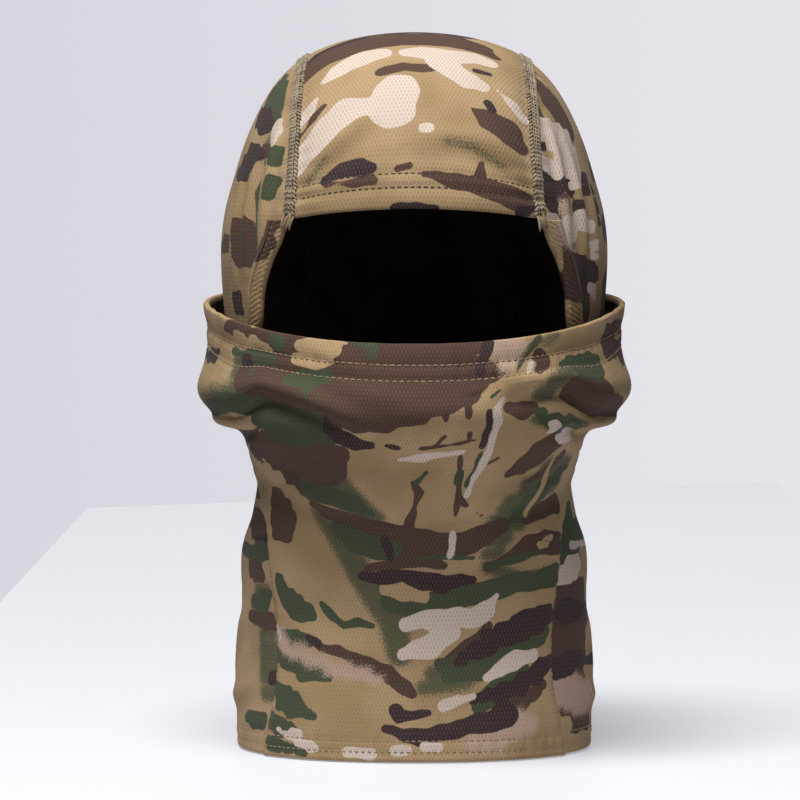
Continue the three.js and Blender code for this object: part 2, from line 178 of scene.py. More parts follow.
@dataclass
class WornForm:
    """The hood and mask forms, as the cloth lies on the head, chin and neck."""

    height: float = 300.0
    head_width: float = 160.0
    head_length: float = 204.0
    neck_height: float = 118.0
    rim_front: float = 173.0
    rim_rear: float = 191.0
    brow_height: float = 227.0
    brow_drop: float = 4.0
    crown_centre: float = 200.0
    crown_half: float = 46.0
    crown_flare: float = 5.6
    hood_power: float = 2.2
    mask_power: float = 2.05
    cloth: float = 1.2
    lift: float = 1.9
    rim_lift: float = 1.7
    wing_taper: float = 34.0
    shift_y: float = field(init=False)

    body_rows = (
        (0.0, 0.92, 0.755, 0.735), (0.067, 0.93, 0.745, 0.725), (0.167, 0.9, 0.725, 0.69),
        (0.267, 0.885, 0.77, 0.66), (0.333, 0.835, 0.86, 0.66), (0.38, 0.815, 0.91, 0.69),
        (0.45, 0.87, 0.94, 0.78), (0.5, 0.92, 0.95, 0.88), (0.567, 0.965, 0.955, 0.985),
        (0.633, 0.995, 0.955, 1.03), (0.7, 1.005, 0.955, 1.045), (0.75, 0.985, 0.96, 1.04),
        (0.8, 0.935, 0.95, 1.015), (0.85, 0.875, 0.91, 0.96), (0.9, 0.79, 0.82, 0.86),
        (0.937, 0.695, 0.71, 0.735), (0.967, 0.56, 0.555, 0.575), (0.987, 0.38, 0.365, 0.385),
        (1.0, 0.0, 0.0, 0.0),
    )
    bulge_rows = (
        (-0.1, 0, 0), (0.05, 1, 4), (0.16, 4.5, 7), (0.25, 9, 9), (0.33, 12.5, 12),
        (0.44, 12, 17), (0.58, 9, 21), (0.74, 6, 17), (0.88, 4.5, 14), (1.0, 5, 12),
    )
    neck_seam = ((0, 55.7), (0.11, 51.5), (0.27, 48), (0.53, 50.2), (0.81, 59), (0.915, 68.5), (1, 80))
    wing_seam = ((0, 80), (0.23, 92), (0.44, 99), (0.71, 108), (1, 116))
    opening = (
        (0, 80), (0.16, 71), (0.305, 62.9), (0.59, 51.5), (0.714, 49), (0.838, 44.6),
        (0.914, 41), (1, 39),
    )

    def __post_init__(self) -> None:
        """Makes the curves, and finds the frame's shift along Y from the crown's rear."""
        def column(index: int) -> Callable[[Array], Array]:
            """One column of the body table, squared so that the crown closes round."""
            curve = through([(row[0], row[index] ** 2) for row in self.body_rows])
            return lambda z: np.sqrt(np.maximum(curve(z / self.height), 0.0))

        self._width, self._front, self._back = column(1), column(2), column(3)
        self._side_bulge, self._front_bulge = (
            through([(row[0], row[k]) for row in self.bulge_rows]) for k in (1, 2)
        )
        self._neck_seam, self._wing_seam, self._opening = (
            through(points) for points in (self.neck_seam, self.wing_seam, self.opening)
        )
        heights = np.linspace(self.brow_height - 40, self.brow_height, 81)
        rear = float(self.back(heights).max()) + self.cloth
        self.shift_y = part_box("crown_panel")[1].y / MM - rear

    def half_width(self, z: Array) -> Array:
        """Half the hood's width at a height."""
        return 0.5 * self.head_width * self._width(z)

    def front(self, z: Array) -> Array:
        """Depth of the hood form in front of its axis."""
        return 0.5 * self.head_length * self._front(z)

    def back(self, z: Array) -> Array:
        """Depth of the hood form behind its axis."""
        return 0.5 * self.head_length * self._back(z)

    @staticmethod
    def section(width: Array, front: Array, back: Array, power: Array, angle: Array) -> Array:
        """Horizontal section at an angle from straight ahead.

        Args:
            width: Half width.
            front: Depth ahead of the axis.
            back: Depth behind the axis.
            power: Corner roundness, 2 for an ellipse.
            angle: Degrees from straight ahead, positive to the wearer's left.

        Returns:
            Sideways and fore-and-aft places, on a new last axis.
        """
        turn = np.radians(angle)
        sine, cosine = np.sin(turn), np.cos(turn)
        across = np.sign(sine) * np.abs(sine) ** (2.0 / power)
        along = np.sign(cosine) * np.abs(cosine) ** (2.0 / power)
        depth = np.where(along > 0, front, back)
        return np.stack([width * across, -depth * along], axis=-1)

    def hood(self, angle: Array, z: Array) -> Array:
        """Point of the hood form at an angle and a height."""
        flat = self.section(self.half_width(z), self.front(z), self.back(z), self.hood_power, angle)
        return np.concatenate([flat, np.broadcast_to(z, angle.shape)[..., None]], axis=-1)

    def outward(self, angle: Array, z: Array, away: Array) -> Array:
        """Level direction square to the hood form.

        Args:
            angle: Degrees from straight ahead.
            z: Heights.
            away: Vectors that point out of the form, which settle the side.

        Returns:
            Unit vectors.
        """
        ahead = self.hood(angle + 0.2, z) - self.hood(angle - 0.2, z)
        square = unit(np.stack([-ahead[..., 1], ahead[..., 0], np.zeros_like(z)], axis=-1))
        return np.where((square * away)[..., :2].sum(-1, keepdims=True) < 0, -square, square)

    def seam_angle(self, z: Array) -> Array:
        """Angle of the seam between the mask and the side panel."""
        up = (z - self.neck_height) / (self.rim_rear - self.neck_height)
        return np.where(z < self.neck_height, self._neck_seam(z / self.neck_height), self._wing_seam(up))

    def opening_angle(self, z: Array) -> Array:
        """Angle of the face opening's edge."""
        corner = self.brow_height - self.brow_drop
        return self._opening((z - self.neck_height) / (corner - self.neck_height))

    def crown_width(self, elevation: Array) -> Array:
        """Half width of the crown strip at an elevation about the head's centre."""
        from_top = np.clip(1.0 - elevation / (math.pi / 2), 0.0, 1.0)
        return self.crown_half + self.crown_flare * from_top**1.5

    def depth_at(self, x: Array, z: Array, behind: Array | bool) -> Array:
        """Distance of the outline from the axis at a sideways place, in front or behind."""
        share = np.clip(np.abs(x) / np.maximum(self.half_width(z), 1e-6), 0.0, 1.0)
        depth = np.where(behind, self.back(z), self.front(z))
        return depth * (1.0 - share**self.hood_power) ** (1.0 / self.hood_power)

    def crown_seam_angle(self, z: Array, behind: bool) -> Array:
        """Angle at which a horizontal section meets the crown seam."""
        seam = np.full_like(z, self.crown_half)
        for _ in range(6):
            share = np.clip(seam / self.half_width(z), 0.0, 1.0)
            angle = np.degrees(np.arcsin(share ** (self.hood_power / 2.0)))
            if behind:
                return 180.0 - angle
            y = self.hood(angle, z)[..., 1]
            seam = self.crown_width(np.arctan2(z - self.crown_centre, -y))
        return angle

    def crown_ray(self, x: Array, elevation: Array) -> Array:
        """Where the ray from the head's centre at this elevation leaves the hood form."""
        near, far = np.zeros_like(x), np.full_like(x, 2.0 * self.height)
        for _ in range(36):
            reach = 0.5 * (near + far)
            z = self.crown_centre + reach * np.sin(elevation)
            y = -reach * np.cos(elevation)
            wide = np.abs(x) < self.half_width(z)
            inside = (z < self.height) & wide & (np.abs(y) < self.depth_at(x, z, y > 0))
            near, far = np.where(inside, reach, near), np.where(inside, far, reach)
        z = self.crown_centre + near * np.sin(elevation)
        return np.stack([x, -near * np.cos(elevation), z], axis=-1)

    def brow_elevation(self, x: Array) -> Array:
        """Elevation of the brow edge at a sideways place."""
        z = self.brow_height - self.brow_drop * (x / (self.crown_half + self.crown_flare)) ** 2
        return np.arctan2(z - self.crown_centre, self.depth_at(x, z, False))

    @property
    def crown_arc(self) -> float:
        """Length of the crown strip from the brow to the back of the head."""
        start = float(self.brow_elevation(np.zeros(1))[0])
        return (math.pi - start) * 0.5 * self.head_length

    def crown(self, share: Array, distance: Array) -> Array:
        """Point of the crown strip at a share of its half width and a distance from the brow."""
        corner = self.brow_elevation(np.array([self.crown_half + self.crown_flare]))
        start = self.brow_elevation(share * self.crown_width(corner))
        elevation = start + (math.pi - start) * np.clip(distance / self.crown_arc, None, 1.0)
        over = self.crown_ray(share * self.crown_width(elevation), elevation)
        z = self.crown_centre - np.maximum(distance - self.crown_arc, 0.0)
        x = share * self.crown_half
        down = np.stack([x, self.depth_at(x, z, True), z], axis=-1)
        return np.where((distance > self.crown_arc)[..., None], down, over)

    def rim_height(self, angle: Array) -> Array:
        """Height of the mask's rim at an angle from straight ahead."""
        rear = float(self._wing_seam(np.ones(1))[0])
        share = np.sin(0.5 * math.pi * np.clip(np.abs(angle) / rear, 0.0, 1.0))
        return self.rim_front + (self.rim_rear - self.rim_front) * share**2

    def mask(self, share: Array, rear_height: Array) -> Array:
        """Point of the mask form at a share of the way to its seam and its height there."""
        edge = self.seam_angle(rear_height)
        angle = share * edge
        z = rear_height / self.rim_rear * self.rim_height(angle)
        up = (rear_height - self.neck_height) / (self.rim_rear - self.neck_height)
        hood = self.hood(angle, z)
        outward = self.outward(angle, z, hood)
        power = self.hood_power + (self.mask_power - self.hood_power) * smooth(up, 0.0, 0.6)
        ones = np.ones_like(z)
        round_section = self.section(ones, ones, ones, power, angle)
        taper = 1.0 - smooth(np.abs(angle), edge - self.wing_taper, edge)
        lift = self.lift + self.rim_lift * smooth(up, 0.1, 0.6)
        bulge = np.stack([
            self._side_bulge(up) * round_section[..., 0] * taper,
            self._front_bulge(up) * round_section[..., 1] * taper,
            np.zeros_like(z),
        ], axis=-1)
        return hood + outward * lift[..., None] + bulge


# -------------------- folds and print


@dataclass(frozen=True)
class Fold:
    """A soft fold along a bent line in flat coordinates, with a hollow below it (lean)."""

    start: Point
    bend: Point
    end: Point
    rise: float
    width: float
    lean: float

    def lift(self, u: Array, v: Array) -> Array:
        """Height of the fold at flat places.

        Args:
            u: Places across the panel.
            v: Places up the panel.

        Returns:
            The lift along the surface's normal.
        """
        t = np.linspace(0.0, 1.0, 25)
        keep, turn, away = (1 - t) ** 2, 2 * t * (1 - t), t**2
        line_u = keep * self.start[0] + turn * self.bend[0] + away * self.end[0]
        line_v = keep * self.start[1] + turn * self.bend[1] + away * self.end[1]
        best = np.full(u.shape, 1e9)
        place = np.zeros(u.shape)
        across = np.zeros(u.shape)
        for i in range(len(t) - 1):
            du, dv = line_u[i + 1] - line_u[i], line_v[i + 1] - line_v[i]
            length = math.hypot(du, dv)
            along = ((u - line_u[i]) * du + (v - line_v[i]) * dv) / length**2
            along = np.clip(along, 0.0, 1.0)
            off_u, off_v = u - line_u[i] - along * du, v - line_v[i] - along * dv
            gap = np.hypot(off_u, off_v)
            side = np.sign(du * off_v - dv * off_u)
            nearer = gap < best
            best = np.where(nearer, gap, best)
            across = np.where(nearer, side * gap, across)
            place = np.where(nearer, (i + along) / (len(t) - 1), place)
        fade = np.sin(math.pi * np.clip(place, 0.02, 0.98)) ** 0.6
        below = -math.copysign(1.5 * self.width, self.end[0] - self.start[0])
        ridge = bell(across, self.width)
        hollow = bell(across - below, 1.1 * self.width)
        return self.rise * fade * (ridge - self.lean * hollow)


@dataclass(frozen=True)
class Motif:
    """One printed shape: a chain of round spots, each (across, up, radius), joined smoothly."""

    ink: Ink
    spots: tuple[Spot, ...]

    def field(self, u: Array, v: Array) -> Array:
        """Distance inside the shape's edge, negative outside.

        Args:
            u: Places across the panel.
            v: Places up the panel.

        Returns:
            Distances in millimetres.
        """
        best = np.full(u.shape, -99.0)
        chain = self.spots if len(self.spots) > 1 else self.spots * 2
        for (u0, v0, r0), (u1, v1, r1) in zip(chain, chain[1:]):
            du, dv = u1 - u0, v1 - v0
            along = ((u - u0) * du + (v - v0) * dv) / max(du * du + dv * dv, 1e-9)
            along = np.clip(along, 0.0, 1.0)
            gap = np.hypot(u - u0 - along * du, v - v0 - along * dv)
            best = np.maximum(best, r0 + (r1 - r0) * along - gap)
        return best


@dataclass(frozen=True)
class Scatter:
    """Seeded shapes of one colour: how many to a square decimetre, how big and how long."""

    ink: Ink
    density: float
    size: Point
    links: tuple[int, int]


SCATTERS = (
    Scatter(Ink.SHADE, 3.0, (6.0, 10.0), (2, 4)),
    Scatter(Ink.BROWN, 4.4, (4.0, 9.0), (3, 6)),
    Scatter(Ink.GREEN, 4.0, (3.2, 7.0), (3, 6)),
    Scatter(Ink.ROSE, 0.8, (3.0, 5.0), (2, 4)),
    Scatter(Ink.DARK, 3.4, (2.0, 4.6), (3, 6)),
    Scatter(Ink.CREAM, 2.3, (1.8, 4.2), (2, 5)),
)


def scattered(seed: int, area: tuple[float, float, float, float]) -> list[Motif]:
    """Seeded shapes for cloth that has no chosen ones.

    Args:
        seed: Seed of the random draws.
        area: Lowest and highest place across, then up.

    Returns:
        The shapes, most of them lying along the cloth.
    """
    rng = np.random.default_rng(seed)
    squares = (area[1] - area[0]) * (area[3] - area[2]) / 1.0e4
    motifs = []
    for kind in SCATTERS:
        for _ in range(round(kind.density * squares)):
            u = rng.uniform(area[0], area[1])
            v = rng.uniform(area[2], area[3])
            heading = rng.normal(0.0, 0.5)
            size = rng.uniform(*kind.size)
            spots = []
            for _ in range(rng.integers(*kind.links)):
                spots.append((u, v, size * rng.uniform(0.5, 1.15)))
                heading += rng.normal(0.0, 0.55)
                u += 1.7 * size * math.cos(heading)
                v += 1.3 * size * math.sin(heading)
            motifs.append(Motif(kind.ink, tuple(spots)))
    return motifs


# -------------------- chosen print


Print = dict[Ink, tuple[tuple[Spot, ...], ...]]

# Crown strip: (across, distance from the brow, radius).
CROWN_PRINT: Print = {
    Ink.SHADE: (
        ((13, 27, 0.5), (24, 26, 0.6), (36, 20, 0.5)),
        # Painted shade: this chain is the shade in the fold above the brow on the wearer's right, laid as a
        # green fade.
        ((-44, 15, 0.4), (-36, 24, 0.5)),
    ),
    Ink.BROWN: (
        ((-48, 76, 4), (-40, 84, 9), (-24, 94, 12), (-6, 99, 14), (10, 99, 14), (24, 92, 9),
         (33, 84, 3)),
        ((-14, 61.5, 2.6), (-4, 64, 3.6), (7, 63, 2.4)),
        ((-49, 38, 1.2), (-42, 44, 1.3), (-37, 49, 1.2)),
        ((-36, 12.5, 1.2), (-25, 11.5, 1.6), (-17, 11.5, 1.8)),
        ((-7, 15.5, 1.4), (-2, 17, 1.6)),
        ((23, 43, 1.2), (30, 39, 4.5), (38, 36, 6.5), (43, 31, 4)),
        ((4, 13.8, 1.6), (14, 11.6, 3), (26, 10.6, 3.6), (36, 8.6, 5), (45, 6, 5)),
        ((27, 15, 2.4), (28, 20, 1.4)),
    ),
    Ink.DARK: (
        ((-44, 96, 3), (-34, 104, 4), (-16, 116, 5), (6, 119, 5), (22, 114, 4)),
        ((25, 66, 1.8), (31, 65.5, 1.8)),
        ((-37, 14.5, 1.8), (-30, 17.5, 3.6), (-22, 17.5, 3.6), (-17, 17, 2)),
        ((30, 47.5, 2.3), (31.5, 45, 1.8)),
        ((-9, 0.5, 1.4), (0, 1.2, 2.2), (8, 0.6, 1.6)),
        ((44, 1.5, 3), (48, 4, 2)),
    ),
    Ink.CREAM: (
        ((-37, 64, 1.6), (-30, 70, 5), (-22, 75, 6.5), (-15, 77, 5.5)),
        ((-3, 77, 4), (4, 77, 6), (14, 74, 7), (24, 77, 5), (31, 75, 3.4)),
        ((10, 70, 6), (15, 63, 6), (22, 58, 5), (27, 56, 3.4)),
        ((-49, 22, 3), (-44, 29, 5.5), (-36, 37, 6.5), (-28, 43, 6.5), (-19, 43, 4), (-9, 42, 10),
         (-7, 50, 9)),
        ((-49, 44, 2.6), (-44, 50, 3), (-40, 55, 1)),
        ((3.5, 32, 2.4), (5.5, 32, 2.4)),
        ((34, 56, 0.9), (39, 52, 2), (45, 47, 2.6)),
    ),
}

# Mask: (sideways, height, radius), as seen from the front.
MASK_PRINT: Print = {
    Ink.SHADE: (
        ((-37, 124, 3), (-31, 116, 5), (-24, 108, 5), (-16, 101, 4)),
        ((-42, 103, 1), (-33, 95, 4), (-27, 87, 5), (-22, 78, 6), (-15, 68, 7), (-9, 58, 6),
         (-6, 44, 5)),
        ((61, 124, 5), (52, 114, 7), (43, 105, 7), (36, 97, 5), (32, 86, 4)),
        ((62, 162, 3), (57, 157, 4), (53, 151, 4)),
        ((-80, 148, 3), (-72, 152, 3), (-71, 166, 3), (-58, 169, 2)),
        ((49, 142, 2), (60, 139, 4), (70, 138, 3)),
        ((8, 36, 4), (20, 34, 5), (4, 30, 3)),
        ((30, 80, 3), (44, 74, 3), (56, 76, 3)),
        ((57, 175, 2), (52, 173, 1)),
    ),
    Ink.BROWN: (
        # The upper half.
        ((-58, 158, 9), (-46, 158, 11), (-30, 160, 12), (-14, 158, 15), (2, 158, 15), (14, 159, 11),
         (24, 161, 6), (33, 161, 3)),
        ((-32, 176, 3.5), (-16, 174, 6), (2, 173, 7), (18, 174, 6), (27, 175, 4)),
        ((-68, 157, 5), (-60, 152, 6), (-44, 148, 7), (-28, 147, 10), (-12, 146, 8), (0, 145, 6)),
        ((11, 149, 3), (12.5, 142.5, 1.4)),
        ((21, 152, 2.4), (22, 143.5, 0.9)),
        ((-72, 134, 5), (-62, 131, 8), (-52, 127, 9), (-44, 124, 9), (-37, 122, 8), (-32, 128, 5)),
        ((-60, 124, 5), (-50, 119, 5), (-42, 114, 4.5)),
        ((-46, 116, 4), (-38, 112, 3.5)),
        ((-60, 134, 5), (-48, 132, 6), (-40, 128, 7)),
        ((-76, 178, 3), (-62, 178, 4), (-56, 176, 5), (-48, 176, 4)),
        ((-54, 168, 3), (-50, 168, 3)),
        ((64, 155.5, 3), (68, 151, 6), (74, 147, 6), (79, 143, 4)),
        ((38.5, 147.5, 3), (44, 145.5, 4.8), (48.5, 147, 3.2)),
        ((50, 167.5, 3), (53, 165, 3.4), (49.5, 162, 2.4)),
        ((82, 178, 4), (79, 172, 3.5), (84, 168, 4), (88, 165, 4)),
        ((38, 119.5, 2), (44, 123, 4.6), (51, 128, 6.6), (57, 132, 6), (61, 136, 4)),
        ((45, 116, 1), (51, 118.5, 2), (57, 122.5, 2.2), (61, 127, 2)),
        ((29.5, 124, 0.7), (34, 126.4, 0.8)),
        # The middle and the foot.
        ((-58, 111, 2), (-56, 106, 4.5), (-54.5, 98, 5.5), (-54, 92, 4)),
        ((-41, 106.5, 2.5), (-34, 103, 4), (-24, 98, 5), (-13, 93.5, 6.5), (-2, 91, 7), (9, 90, 6.5),
         (20, 90, 6), (29, 93, 5), (36, 98, 3.5)),
        ((46, 99.5, 1.4), (52, 102.5, 3.5), (59, 105, 5)),
        ((29, 79.5, 1.2), (38, 84, 2.6), (46, 88, 4.4), (54, 90, 5.5), (60, 88, 5)),
        ((-19, 80.5, 1.8), (-9, 82.5, 3), (2, 83, 3), (12, 81.5, 2)),
        ((-38, 47, 1.6), (-31, 44.5, 2.6), (-21, 41, 3), (-12, 36.5, 3.6), (-4, 30.5, 3.2),
         (-1, 28, 2.2)),
        ((31, 55, 1.8), (22, 48.5, 2), (13, 42, 1.5)),
        ((52, 29, 3), (43, 24.5, 4.5), (36, 22.5, 4)),
        # Fine twigs.
        ((2.5, 130.4, 0.8), (10, 131.4, 0.9), (18, 132.8, 0.9), (24, 134, 0.7)),
        ((8, 132, 0.9), (11.5, 135.6, 0.8)),
        ((21.4, 133.6, 0.9), (22.6, 137, 1)),
        ((19, 127, 1.1), (18.4, 123, 1.4), (17.6, 112, 1.1), (16, 103, 0.9)),
        ((17.6, 110, 0.9), (21.4, 106.8, 1)),
        ((-1, 117, 1), (1.5, 112, 1.5), (-0.5, 105, 1.6), (-2.5, 98, 2.4)),
        ((25.5, 102.6, 1), (27, 102.4, 1)),
    ),
    Ink.GREEN: (
        ((-51, 157.5, 2.4), (-44, 158.5, 4.6), (-37, 160, 3.4)),
        ((-43.5, 155, 3.4), (-43, 151.5, 1.6)),
        ((-77, 146, 4), (-68, 145, 4.5), (-60, 141, 6), (-50, 139, 8), (-42, 137, 7), (-36, 135, 4)),
        ((-66, 165.5, 1.8), (-65.5, 160.5, 1.8)),
        ((-74, 168, 2), (-64, 167, 3), (-58, 166.5, 2.4)),
        ((-17, 173.5, 2), (-16.5, 168.5, 2.2)),
        ((-26, 174.5, 1), (-17, 174.5, 1.6)),
        ((-57, 172.5, 2.4), (-55, 174, 2)),
        ((61, 164.5, 2.6), (67, 163, 4), (73, 162, 4.2)),
        ((50, 176, 2), (46, 170, 1.9), (42.5, 165, 1.6), (39, 160, 0.8)),
        ((31, 151.5, 0.8), (34, 153.5, 0.9)),
        ((52, 143, 2.6), (59, 139.5, 4), (67, 139, 4)),
        ((-45, 115.5, 3.4), (-41, 111.5, 4), (-32, 109.5, 5), (-24, 107, 4.5), (-18, 103, 2)),
        ((-33, 97, 2.2), (-24, 92, 5), (-14, 89, 5.5), (-8, 88.5, 3.6)),
        ((18.3, 121, 1.8), (17, 115.5, 1.4)),
        ((1, 116.5, 1.5), (4.5, 120.5, 0.9)),
        ((27, 128.5, 0.8), (24, 121, 1.3), (21.5, 115, 1.3)),
        ((62, 121, 2), (54, 115, 3.4), (47, 107, 4), (42, 100, 3)),
        ((2, 84.5, 1), (14, 85, 1.4), (24, 84.5, 0.9)),
        ((29, 80.5, 1.3), (38, 82.3, 1.6), (46, 84.5, 2), (51, 84.5, 1.2)),
        ((-10, 66, 4), (0, 64, 5), (10, 66, 5.5), (22, 68.5, 5), (32, 70, 5), (42, 73.5, 4.6),
         (50, 72.5, 4), (58, 76, 5)),
        ((-56, 74, 2), (-53, 67, 3.6), (-49, 62.5, 4.2), (-44, 61, 3.8)),
        ((-38.5, 64, 1.8), (-34, 59.5, 1.9), (-29, 56.8, 2), (-23, 56.8, 1.8), (-17, 55.6, 1)),
        ((-53, 51, 2.6), (-48, 48.5, 4), (-44, 49.5, 2.4)),
        ((-57, 41, 2.4), (-48, 38.5, 4.2), (-41, 36.5, 4), (-36, 34.5, 2)),
        ((-55, 26, 4.6), (-51, 22, 5), (-46, 19, 1.8), (-43, 18.5, 2.6)),
        ((-61, 15, 3.4), (-56, 12.5, 4), (-50, 11, 2.2)),
        ((-60, 5.5, 3), (-52, 4.5, 2.6), (-46, 3, 1.6)),
        ((52, 51, 4), (44, 47, 5), (34, 42.5, 4.5), (24, 38.5, 5), (14, 38, 4.5)),
        ((44, 35, 5), (35, 30, 5), (27, 23, 4)),
    ),
    Ink.ROSE: (
        ((24, 14, 3), (36, 12, 4), (48, 14, 4)),
        ((34, 171, 4), (40, 172, 4.4), (43, 171, 3), (36, 164, 3.4)),
        ((-56, 52, 1.6), (-54, 46, 3), (-45, 43, 3), (-34, 38.5, 3.4), (-23, 36.5, 3),
         (-15, 33.5, 1.6)),
        ((43, 17, 4), (34, 9.5, 5), (25, 8, 4)),
    ),
    Ink.TAN: (
        ((-47, 172, 3), (-40, 171.5, 5), (-32, 170.5, 3.4)),
        ((-48, 166.5, 2.6), (-40, 165.5, 3.2), (-34, 166.5, 2)),
        ((-30, 174.5, 0.8), (-27, 174.6, 0.8)),
        ((-72, 175, 3), (-60, 171, 1.6)),
        ((-29.5, 136.8, 0.7), (-22, 133.8, 0.9)),
        ((-62.5, 124.5, 0.7), (-60, 120.5, 2), (-55, 116, 3)),
        ((46, 101.5, 1.3), (49.5, 109, 1.8), (54, 118, 1.7), (59, 128, 1.2)),
        ((-12, 71.5, 2.6), (-4, 70, 4), (3, 68.5, 3)),
        ((52, 88, 1.6), (55.5, 90.5, 2)),
        ((-14, 29, 0.9), (-11, 30, 1)),
    ),
    Ink.DARK: (
        ((-81, 168.5, 0.8), (-81, 163, 1.9)),
        ((-69, 166, 2), (-68, 163, 2)),
        ((-37, 143, 1.4), (-35, 138, 2.6), (-30, 134, 3.6), (-24, 132, 3.6), (-17.5, 131.5, 2.2)),
        ((-12, 131.2, 0.9), (-7, 130.8, 0.8)),
        ((30, 173.5, 2.5), (28, 167, 2.5), (25.5, 162, 2.3)),
        ((30.4, 145, 1.7), (30, 138, 1.8), (27.6, 130.8, 1.6)),
        ((-12.5, 92.5, 1.6), (-10, 87.5, 1.8), (-9.5, 84.8, 1.4)),
        ((-22, 76.8, 1.9), (-14, 76.6, 3.3), (-5, 77.6, 3), (4, 75, 4), (12, 73.4, 4), (19, 74.5, 2.5),
         (24, 75, 1.6)),
        ((56, 58.5, 4), (47, 56.5, 4.8), (38, 52.5, 5), (30, 48.5, 4.2), (24, 44.5, 3.2),
         (18, 41, 1.8)),
        ((56, 40, 4), (47, 33, 4), (38, 28.5, 4.2), (30, 27, 2.4), (23.5, 24.4, 1.2)),
        ((-7.5, 22, 2.8), (-6, 18.6, 3), (0, 19, 2), (6, 20.6, 1.6)),
        ((-12, 13.8, 1.7), (-5, 11, 3), (3, 10, 3.8), (14, 13, 3.6), (24, 15, 4), (33, 17, 5),
         (38, 19.5, 5.6)),
        ((-43.5, 51, 1.2), (-39, 47.2, 1.5)),
    ),
    Ink.CREAM: (
        ((-6, 125.6, 1.6), (3, 127, 2.2), (12, 128, 1.9), (20, 129.4, 1)),
        ((36, 150.6, 1.2), (33.6, 147, 1.8), (33.6, 141, 2), (31.5, 133, 1.8), (28, 125, 1.5),
         (24.5, 118, 1.2), (21, 110.5, 0.9)),
        ((56.4, 139.6, 2.5), (55, 136.4, 1.9)),
        ((63.4, 136, 2.2), (60.6, 132.2, 3.1)),
        ((45.4, 162, 1.3), (47, 164.4, 1.2)),
        ((15.8, 95, 1.4), (15, 88.5, 1.5), (14.2, 85, 1.2)),
        ((33.5, 68, 1.3), (29.5, 62.5, 4.2), (24, 59, 4), (19, 59.5, 4), (11, 58, 5), (3, 58, 3.6),
         (-4, 57, 3)),
        ((14, 53.5, 4.6), (8, 48.5, 5), (1, 45.4, 4.2), (-4.5, 44.6, 2.8)),
        ((49, 43.6, 2.6), (42, 41, 3.6), (35, 37.4, 3.2), (30, 34.2, 1.8)),
        ((24, 27, 1.5), (18, 25.2, 2.8), (11.5, 22.6, 2)),
        ((-56, 11, 1), (-49, 8.6, 2.6), (-42, 5, 2.4)),
        ((-28, 3.4, 2), (-18, 4, 2.6)),
        ((-8, 5, 2), (-3, 5, 2)),
        ((4.5, 6.5, 2), (10, 6.4, 2)),
        ((-56.5, 53, 1.4), (-55.5, 50, 1.6)),
    ),
}

# Side panels: (sideways, height, radius), as seen from the front.
RIGHT_PRINT: Print = {
    Ink.SHADE: (
        ((-61, 48, 3), (-60, 40, 4), (-59, 28, 4)),
        ((-63, 67, 3), (-65, 62, 3)),
        ((-60, 256, 1), (-63, 248, 1)),
    ),
    Ink.BROWN: (
        ((-72, 221, 3.4), (-70.5, 212, 4.6), (-71, 206, 3.2)),
        ((-79, 214, 3), (-79.5, 207, 3)),
        ((-57.5, 214, 3.5), (-60.5, 206, 4), (-63, 199, 3.4)),
        ((-64, 110, 3), (-63, 101, 6), (-64, 93, 5)),
        ((-67, 76.5, 3), (-65, 73, 2.6)),
        ((-66, 56.5, 2.8), (-60, 55.5, 2.8)),
        ((-60.5, 251.4, 2.2), (-60.4, 251, 2.2)),
    ),
    Ink.GREEN: (
        ((-54, 281, 2), (-57, 275, 4), (-60, 269, 5), (-58, 265, 3)),
        ((-56, 250, 2.4), (-58.5, 246, 2)),
        ((-57, 239, 2.4), (-60.5, 234.5, 2.4), (-61, 231, 0.9)),
        ((-62, 247, 0.6), (-65.5, 234, 0.9), (-66, 222, 1.3), (-65.5, 213, 1.3)),
        ((-66, 85, 3.6), (-62, 84.5, 3)),
        ((-62, 66, 2.6), (-65, 61.5, 3)),
        ((-69, 14, 2.4), (-64, 14, 2.6)),
    ),
    Ink.DARK: (
        ((-64, 265, 3.6), (-61.5, 262, 3.4)),
        ((-65, 251.5, 3.2), (-69, 246.5, 3.4), (-72.5, 241, 3)),
        ((-74, 190.5, 2.2), (-72.8, 184, 2)),
        ((-66, 89, 0.9), (-60, 89, 1)),
        ((-58.5, 34, 1.8), (-59, 31, 1.4)),
    ),
    Ink.CREAM: (
        ((-55.5, 219.5, 2), (-56, 218, 1.8)),
        ((-56, 262.4, 1.2), (-57.4, 257.5, 2.1), (-58.2, 253.4, 1)),
    ),
}
